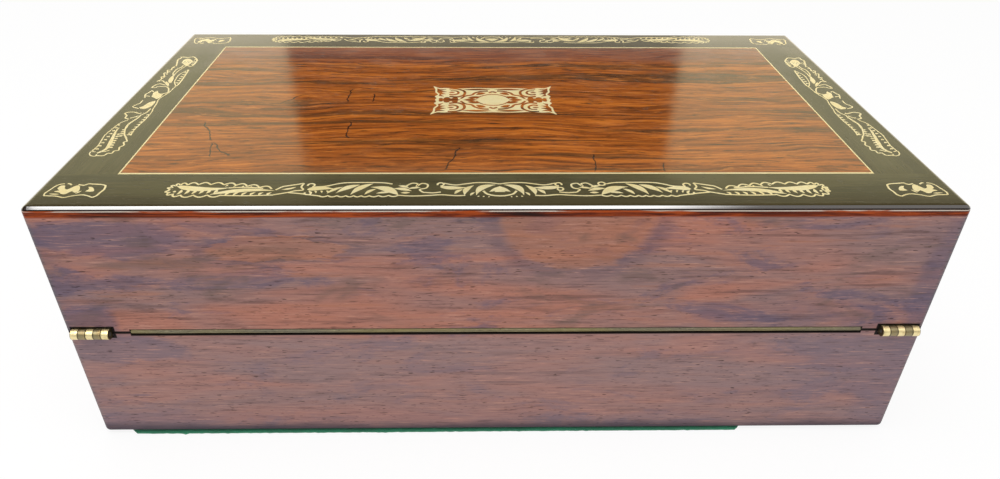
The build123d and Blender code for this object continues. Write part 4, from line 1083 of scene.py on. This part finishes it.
class SLOPE_OT_walls(bpy.types.Operator):
    """Rosewood outside, mahogany inside"""

    bl_idname = "slope.walls"
    bl_label = "Walls and inner woodwork"

    def execute(self, context):
        for name, grain, sides in (
            ("rosewood_long", "XZY", ("hinge", "lock")), ("rosewood_short", "YZX", ("left", "right")),
        ):
            walls = [f"{half}_{side}_wall" for half in ("base", "lid") for side in sides]
            dress(rosewood_wall(name, grain), *walls)
        dress(
            mahogany("mahogany_long", "XYZ"), "base_bottom", "lid_top_board", "tray_divider",
            "upper_flap_rest", "lower_flap_rest", "upper_flap_board", "lower_flap_board", "pen_tray",
        )
        pairs = ("base_ledge", "lid_ledge", "well_partition", "well_floor", "tray_bearer")
        short = [f"{pair}_{side}" for pair in pairs for side in ("left", "right")]
        dress(mahogany("mahogany_short", "YXZ"), *short)
        return {"FINISHED"}


class SLOPE_OT_veneers(bpy.types.Operator):
    """The panel and the border of the lid, cut from its rounded form"""

    bl_idname = "slope.veneers"
    bl_label = "Lid veneers"

    def execute(self, context):
        cap = lid_cap()
        long_way, short_way = border_veneer("border_long", "XYZ"), border_veneer("border_short", "YXZ")
        gain = Vector((SIDE_STRING_GAIN, 0, 0))
        shift = Vector((0, FAR_STRING_SHIFT, 0))
        still = Vector((0, 0, 0))
        for node, slot, material, low_move, high_move in (
            ("centre_panel", "figured_rosewood", rosewood_panel("panel_rosewood"), -gain, gain + shift),
            ("border_near", "dark_veneer", long_way, still, still),
            ("border_far", "dark_veneer", long_way, shift, still),
            ("border_left", "dark_veneer", short_way, still, shift),
            ("border_right", "dark_veneer", short_way, still, shift),
        ):
            low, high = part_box(node)
            piece = cut_veneer(cap, f"{node}_veneer", low + low_move, high + high_move)
            settle(piece, "lid", material, (node,))
        bpy.data.objects.remove(cap)
        return {"FINISHED"}


class SLOPE_OT_inlay(bpy.types.Operator):
    """The sawn brass inlay of the lid and its stringing"""

    bl_idname = "slope.inlay"
    bl_label = "Brass inlay"

    def execute(self, context):
        line = sizes().inlay_line / MM
        metal = inlay_brass("inlay_brass")
        self.stringing(metal)
        band = two_ways(near_half(line))
        cut_brass("near_band", placed(band, NEAR_BAND_Y * 1j), [], metal, "inlay_near_band")
        cut_brass("far_band", placed(band, FAR_BAND_Y * 1j, 180), [], metal, "inlay_far_band")
        side, slits = (placed(shapes, SIDE_BAND_X, 90) for shapes in (side_band(line), flower_slits()))
        cut_brass("left_band", side, slits, metal, "inlay_left_band")
        cut_brass("right_band", mirrored(side), mirrored(slits), metal, "inlay_right_band")
        corners = four_ways(placed(corner_cartouche(0.8 * line), CORNER_X + NEAR_BAND_Y * 1j))
        cut_brass("corner_ornaments", corners, [], metal, "inlay_corners")
        plate, *voids = [
            [complex(0.96 * point.real - 1.2, 1.04 * point.imag + 0.6) for point in shape]
            for shape in centre_plate() + centre_voids()
        ]
        cut_brass("centre_ornament", [plate], voids, metal, "inlay_centre")
        return {"FINISHED"}

    def stringing(self, metal):
        """The brass line between the panel and its border."""
        shift = FAR_STRING_SHIFT / MM
        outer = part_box("brass_stringing")[1].xy / MM
        inner = PANEL_HIGH.xy / MM + Vector((SIDE_STRING_GAIN / MM, 0))
        frames = [
            [-half.x - half.y * 1j, half.x - half.y * 1j, half.x + (half.y + shift) * 1j,
             -half.x + (half.y + shift) * 1j]
            for half in (outer, inner)
        ]
        cut_brass("stringing", frames[:1], frames[1:], metal, "brass_stringing")


class SLOPE_OT_metalwork(bpy.types.Operator):
    """Hinges, lock, screws and the keyhole plate"""

    bl_idname = "slope.metalwork"
    bl_label = "Hinges and lock"

    def execute(self, context):
        # The base's hinge brass is painted lighter and the lid's darker: painted light and shade.
        for half, painted_light_share in (("base", 1.1), ("lid", 0.34)):
            leaves_of_half = [f"hinge_{half}_leaf_{side}" for side in ("left", "right")]
            dress(hinge_brass(f"hinge_brass_{half}", painted_light_share), *leaves_of_half)
        dress(brass("lock_brass_brushed", 0.3, 0.5), "lock_case", "lock_link_plate", "keyhole_escutcheon")
        dress(bright_steel("bright_steel"), "lock_bolt", "hinge_pin_left", "hinge_pin_right")
        dress(brass("screw_brass", 0.3, 0.6), "base_screws", "lid_screws")
        return {"FINISHED"}


class SLOPE_OT_leather(bpy.types.Operator):
    """The writing leathers on the flaps, and the leather folded in the seam"""

    bl_idname = "slope.leather"
    bl_label = "Leather"

    def execute(self, context):
        self.writing("upper", 1)
        self.writing("lower", -1)
        self.fold()
        return {"FINISHED"}

    def writing(self, flap, face):
        """A flap's leather, whose face looks up or down, rippled and pressed in along its tooled line."""
        node = f"{flap}_flap_leather"
        low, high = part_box(node)
        thick = high.z - low.z - (high.y - low.y) * SEAM_SLOPE
        middle = (low + high) / 2
        piece = start_from(
            "GRID", f"{flap}_writing_leather", (middle.x, middle.y, 0), (*(high - low).xy, 1),
            x_subdivisions=110, y_subdivisions=60,
        )
        for vertex in piece.data.vertices:
            spot = vertex.co
            edge = min(spot.x - low.x, high.x - spot.x, spot.y - low.y, high.y - spot.y) / MM
            ripple = noise.noise(spot * 28) * 0.16 + noise.noise(spot * 90) * 0.06
            sink = 0.22 + ripple * min(1, edge / 6) + 0.25 * math.exp(-((edge - 9) ** 2) / 1.2)
            base = low.z + (spot.y - low.y) * SEAM_SLOPE
            spot.z = base + (thick - sink * MM * 0.5 if face > 0 else sink * MM * 0.5)
        if face < 0:
            piece.data.flip_normals()
        modify(piece, "SOLIDIFY", thickness=thick * 0.72, offset=-1.0)
        modify(piece, "BEVEL", width=0.2 * MM, segments=2, limit_method="ANGLE")
        material = writing_leather(f"{flap}_leather", low, high)
        settle(piece, f"{flap}_flap", material, (node,), 40)

    def fold(self):
        """One strip of leather, folded round between the rims."""
        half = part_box("leather_fold_base")[1].x
        gap, reach, depth, drop = 0.95 * MM, 8.2 * MM, 1.4 * MM, 0.25 * MM
        leg_rows, round_rows, columns = 6, 12, 120
        normal = Vector((0, -math.sin(SEAM_ANGLE), math.cos(SEAM_ANGLE)))
        out = Vector((0, -math.cos(SEAM_ANGLE), -math.sin(SEAM_ANGLE)))
        centre = Vector((0, depth - HALF_DEPTH, SEAM_HEIGHT * MM + depth * SEAM_SLOPE)) - normal * drop
        leg = [out * reach * row / leg_rows for row in range(1, leg_rows + 1)]
        profile = [centre - normal * gap - step for step in reversed(leg)]
        for row in range(round_rows + 1):
            angle = math.pi * row / round_rows
            profile.append(centre - normal * gap * math.cos(angle) + out * gap * math.sin(angle))
        profile += [centre + normal * gap - step for step in leg]
        spots = []
        for column in range(columns + 1):
            x = half * (2 * column / columns - 1)
            for spot in profile:
                wave = noise.noise(Vector((x * 60, spot.z * 400, 1))) * 0.12 * MM
                spots.append(Vector((x, 0, 0)) + spot + out * wave)
        rows = len(profile)
        corners = [column * rows + row for column in range(columns) for row in range(rows - 1)]
        faces = [(corner, corner + 1, corner + rows + 1, corner + rows) for corner in corners]
        data = bpy.data.meshes.new("folded_leather")
        data.from_pydata(spots, [], faces)
        piece = added("folded_leather", data)
        modify(piece, "SOLIDIFY", thickness=sizes().leather_thickness, offset=0.0)
        material = fold_leather("folded_leather")
        settle(piece, None, material, ("leather_fold_base", "leather_fold_lid"), 50)
        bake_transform(piece)


class SLOPE_OT_baize(bpy.types.Operator):
    """The baize under the base, loose and frayed along the left of its near edge"""

    bl_idname = "slope.baize"
    bl_label = "Baize"

    def execute(self, context):
        low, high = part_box("baize_underside")
        reach = sizes().fringe_reach / MM
        fringe_start, fringe_end, thin_end = -188, -4, 126
        middle = (low + high) / 2
        piece = start_from(
            "GRID", "baize", (middle.x, middle.y, high.z - 0.1 * MM), (*(high - low).xy, 1),
            x_subdivisions=240, y_subdivisions=60,
        )
        for vertex in piece.data.vertices:
            spot = vertex.co
            near = max(0.0, 1 - (spot.y - low.y) / (8 * MM))
            x = spot.x / MM
            paces = ((0.06, 3), (0.7, 8), (0.4, 5))
            waves = [noise.noise(Vector((x * pace, seed, 0))) for pace, seed in paces]
            loose = max(0.0, min(1, (x - fringe_start) / 18, (fringe_end - x) / 34))
            fray = 0.72 + 0.3 * waves[0] + 0.3 * waves[1]
            thin = max(0.0, min(1, (thin_end - x) / 2, (x - fringe_start) / 4)) * (0.86 + 0.09 * waves[2])
            spot.y -= near * max(loose * fray, thin) * reach * MM
            spot.z -= near * (0.1 + loose * 0.22) * MM
        modify(piece, "SOLIDIFY", thickness=0.8 * MM, offset=-1.0)
        settle(piece, "base", baize_cloth("baize"), ("baize_underside",), 40)
        return {"FINISHED"}


class SLOPE_OT_ink(bpy.types.Operator):
    """Glass bottles and their brass caps"""

    bl_idname = "slope.ink"
    bl_label = "Ink bottles"

    def execute(self, context):
        dress(cut_glass("cut_glass"), "ink_bottle_left", "ink_bottle_right")
        dress(brass("cap_brass", 0.25, 0.4), "ink_cap_left", "ink_cap_right")
        return {"FINISHED"}


class SLOPE_PT_panel(bpy.types.Panel):
    """Sizes, colours and steps of the writing slope"""

    bl_idname = "SLOPE_PT_panel"
    bl_label = "Writing slope"
    bl_space_type = "VIEW_3D"
    bl_region_type = "UI"
    bl_category = "Writing slope"

    def draw(self, context):
        scene = context.scene
        for group in (scene.slope_sizes, scene.slope_colours, scene.slope_studio):
            column = self.layout.column(align=True)
            for name in group.bl_rna.properties.keys():
                if name not in ("rna_type", "name"):
                    column.prop(group, name)
        for operator in OPERATORS:
            self.layout.operator(operator.bl_idname)


OPERATORS = (
    SLOPE_OT_studio, SLOPE_OT_walls, SLOPE_OT_veneers, SLOPE_OT_inlay, SLOPE_OT_metalwork, SLOPE_OT_leather,
    SLOPE_OT_baize, SLOPE_OT_ink,
)
GROUPS = {"slope_colours": SlopeColours, "slope_sizes": SlopeSizes, "slope_studio": SlopeStudio}


def register():
    for group in (*GROUPS.values(), *OPERATORS, SLOPE_PT_panel):
        bpy.utils.register_class(group)
    for name, group in GROUPS.items():
        setattr(bpy.types.Scene, name, bpy.props.PointerProperty(type=group))


def unregister():
    for name in GROUPS:
        delattr(bpy.types.Scene, name)
    for group in (SLOPE_PT_panel, *reversed(OPERATORS), *GROUPS.values()):
        bpy.utils.unregister_class(group)


def main():
    register()
    bpy.ops.slope.studio()
    bpy.ops.slope.walls()
    bpy.ops.slope.veneers()
    bpy.ops.slope.inlay()
    bpy.ops.slope.metalwork()
    bpy.ops.slope.leather()
    bpy.ops.slope.baize()
    bpy.ops.slope.ink()


if __name__ == "__main__":
    main()
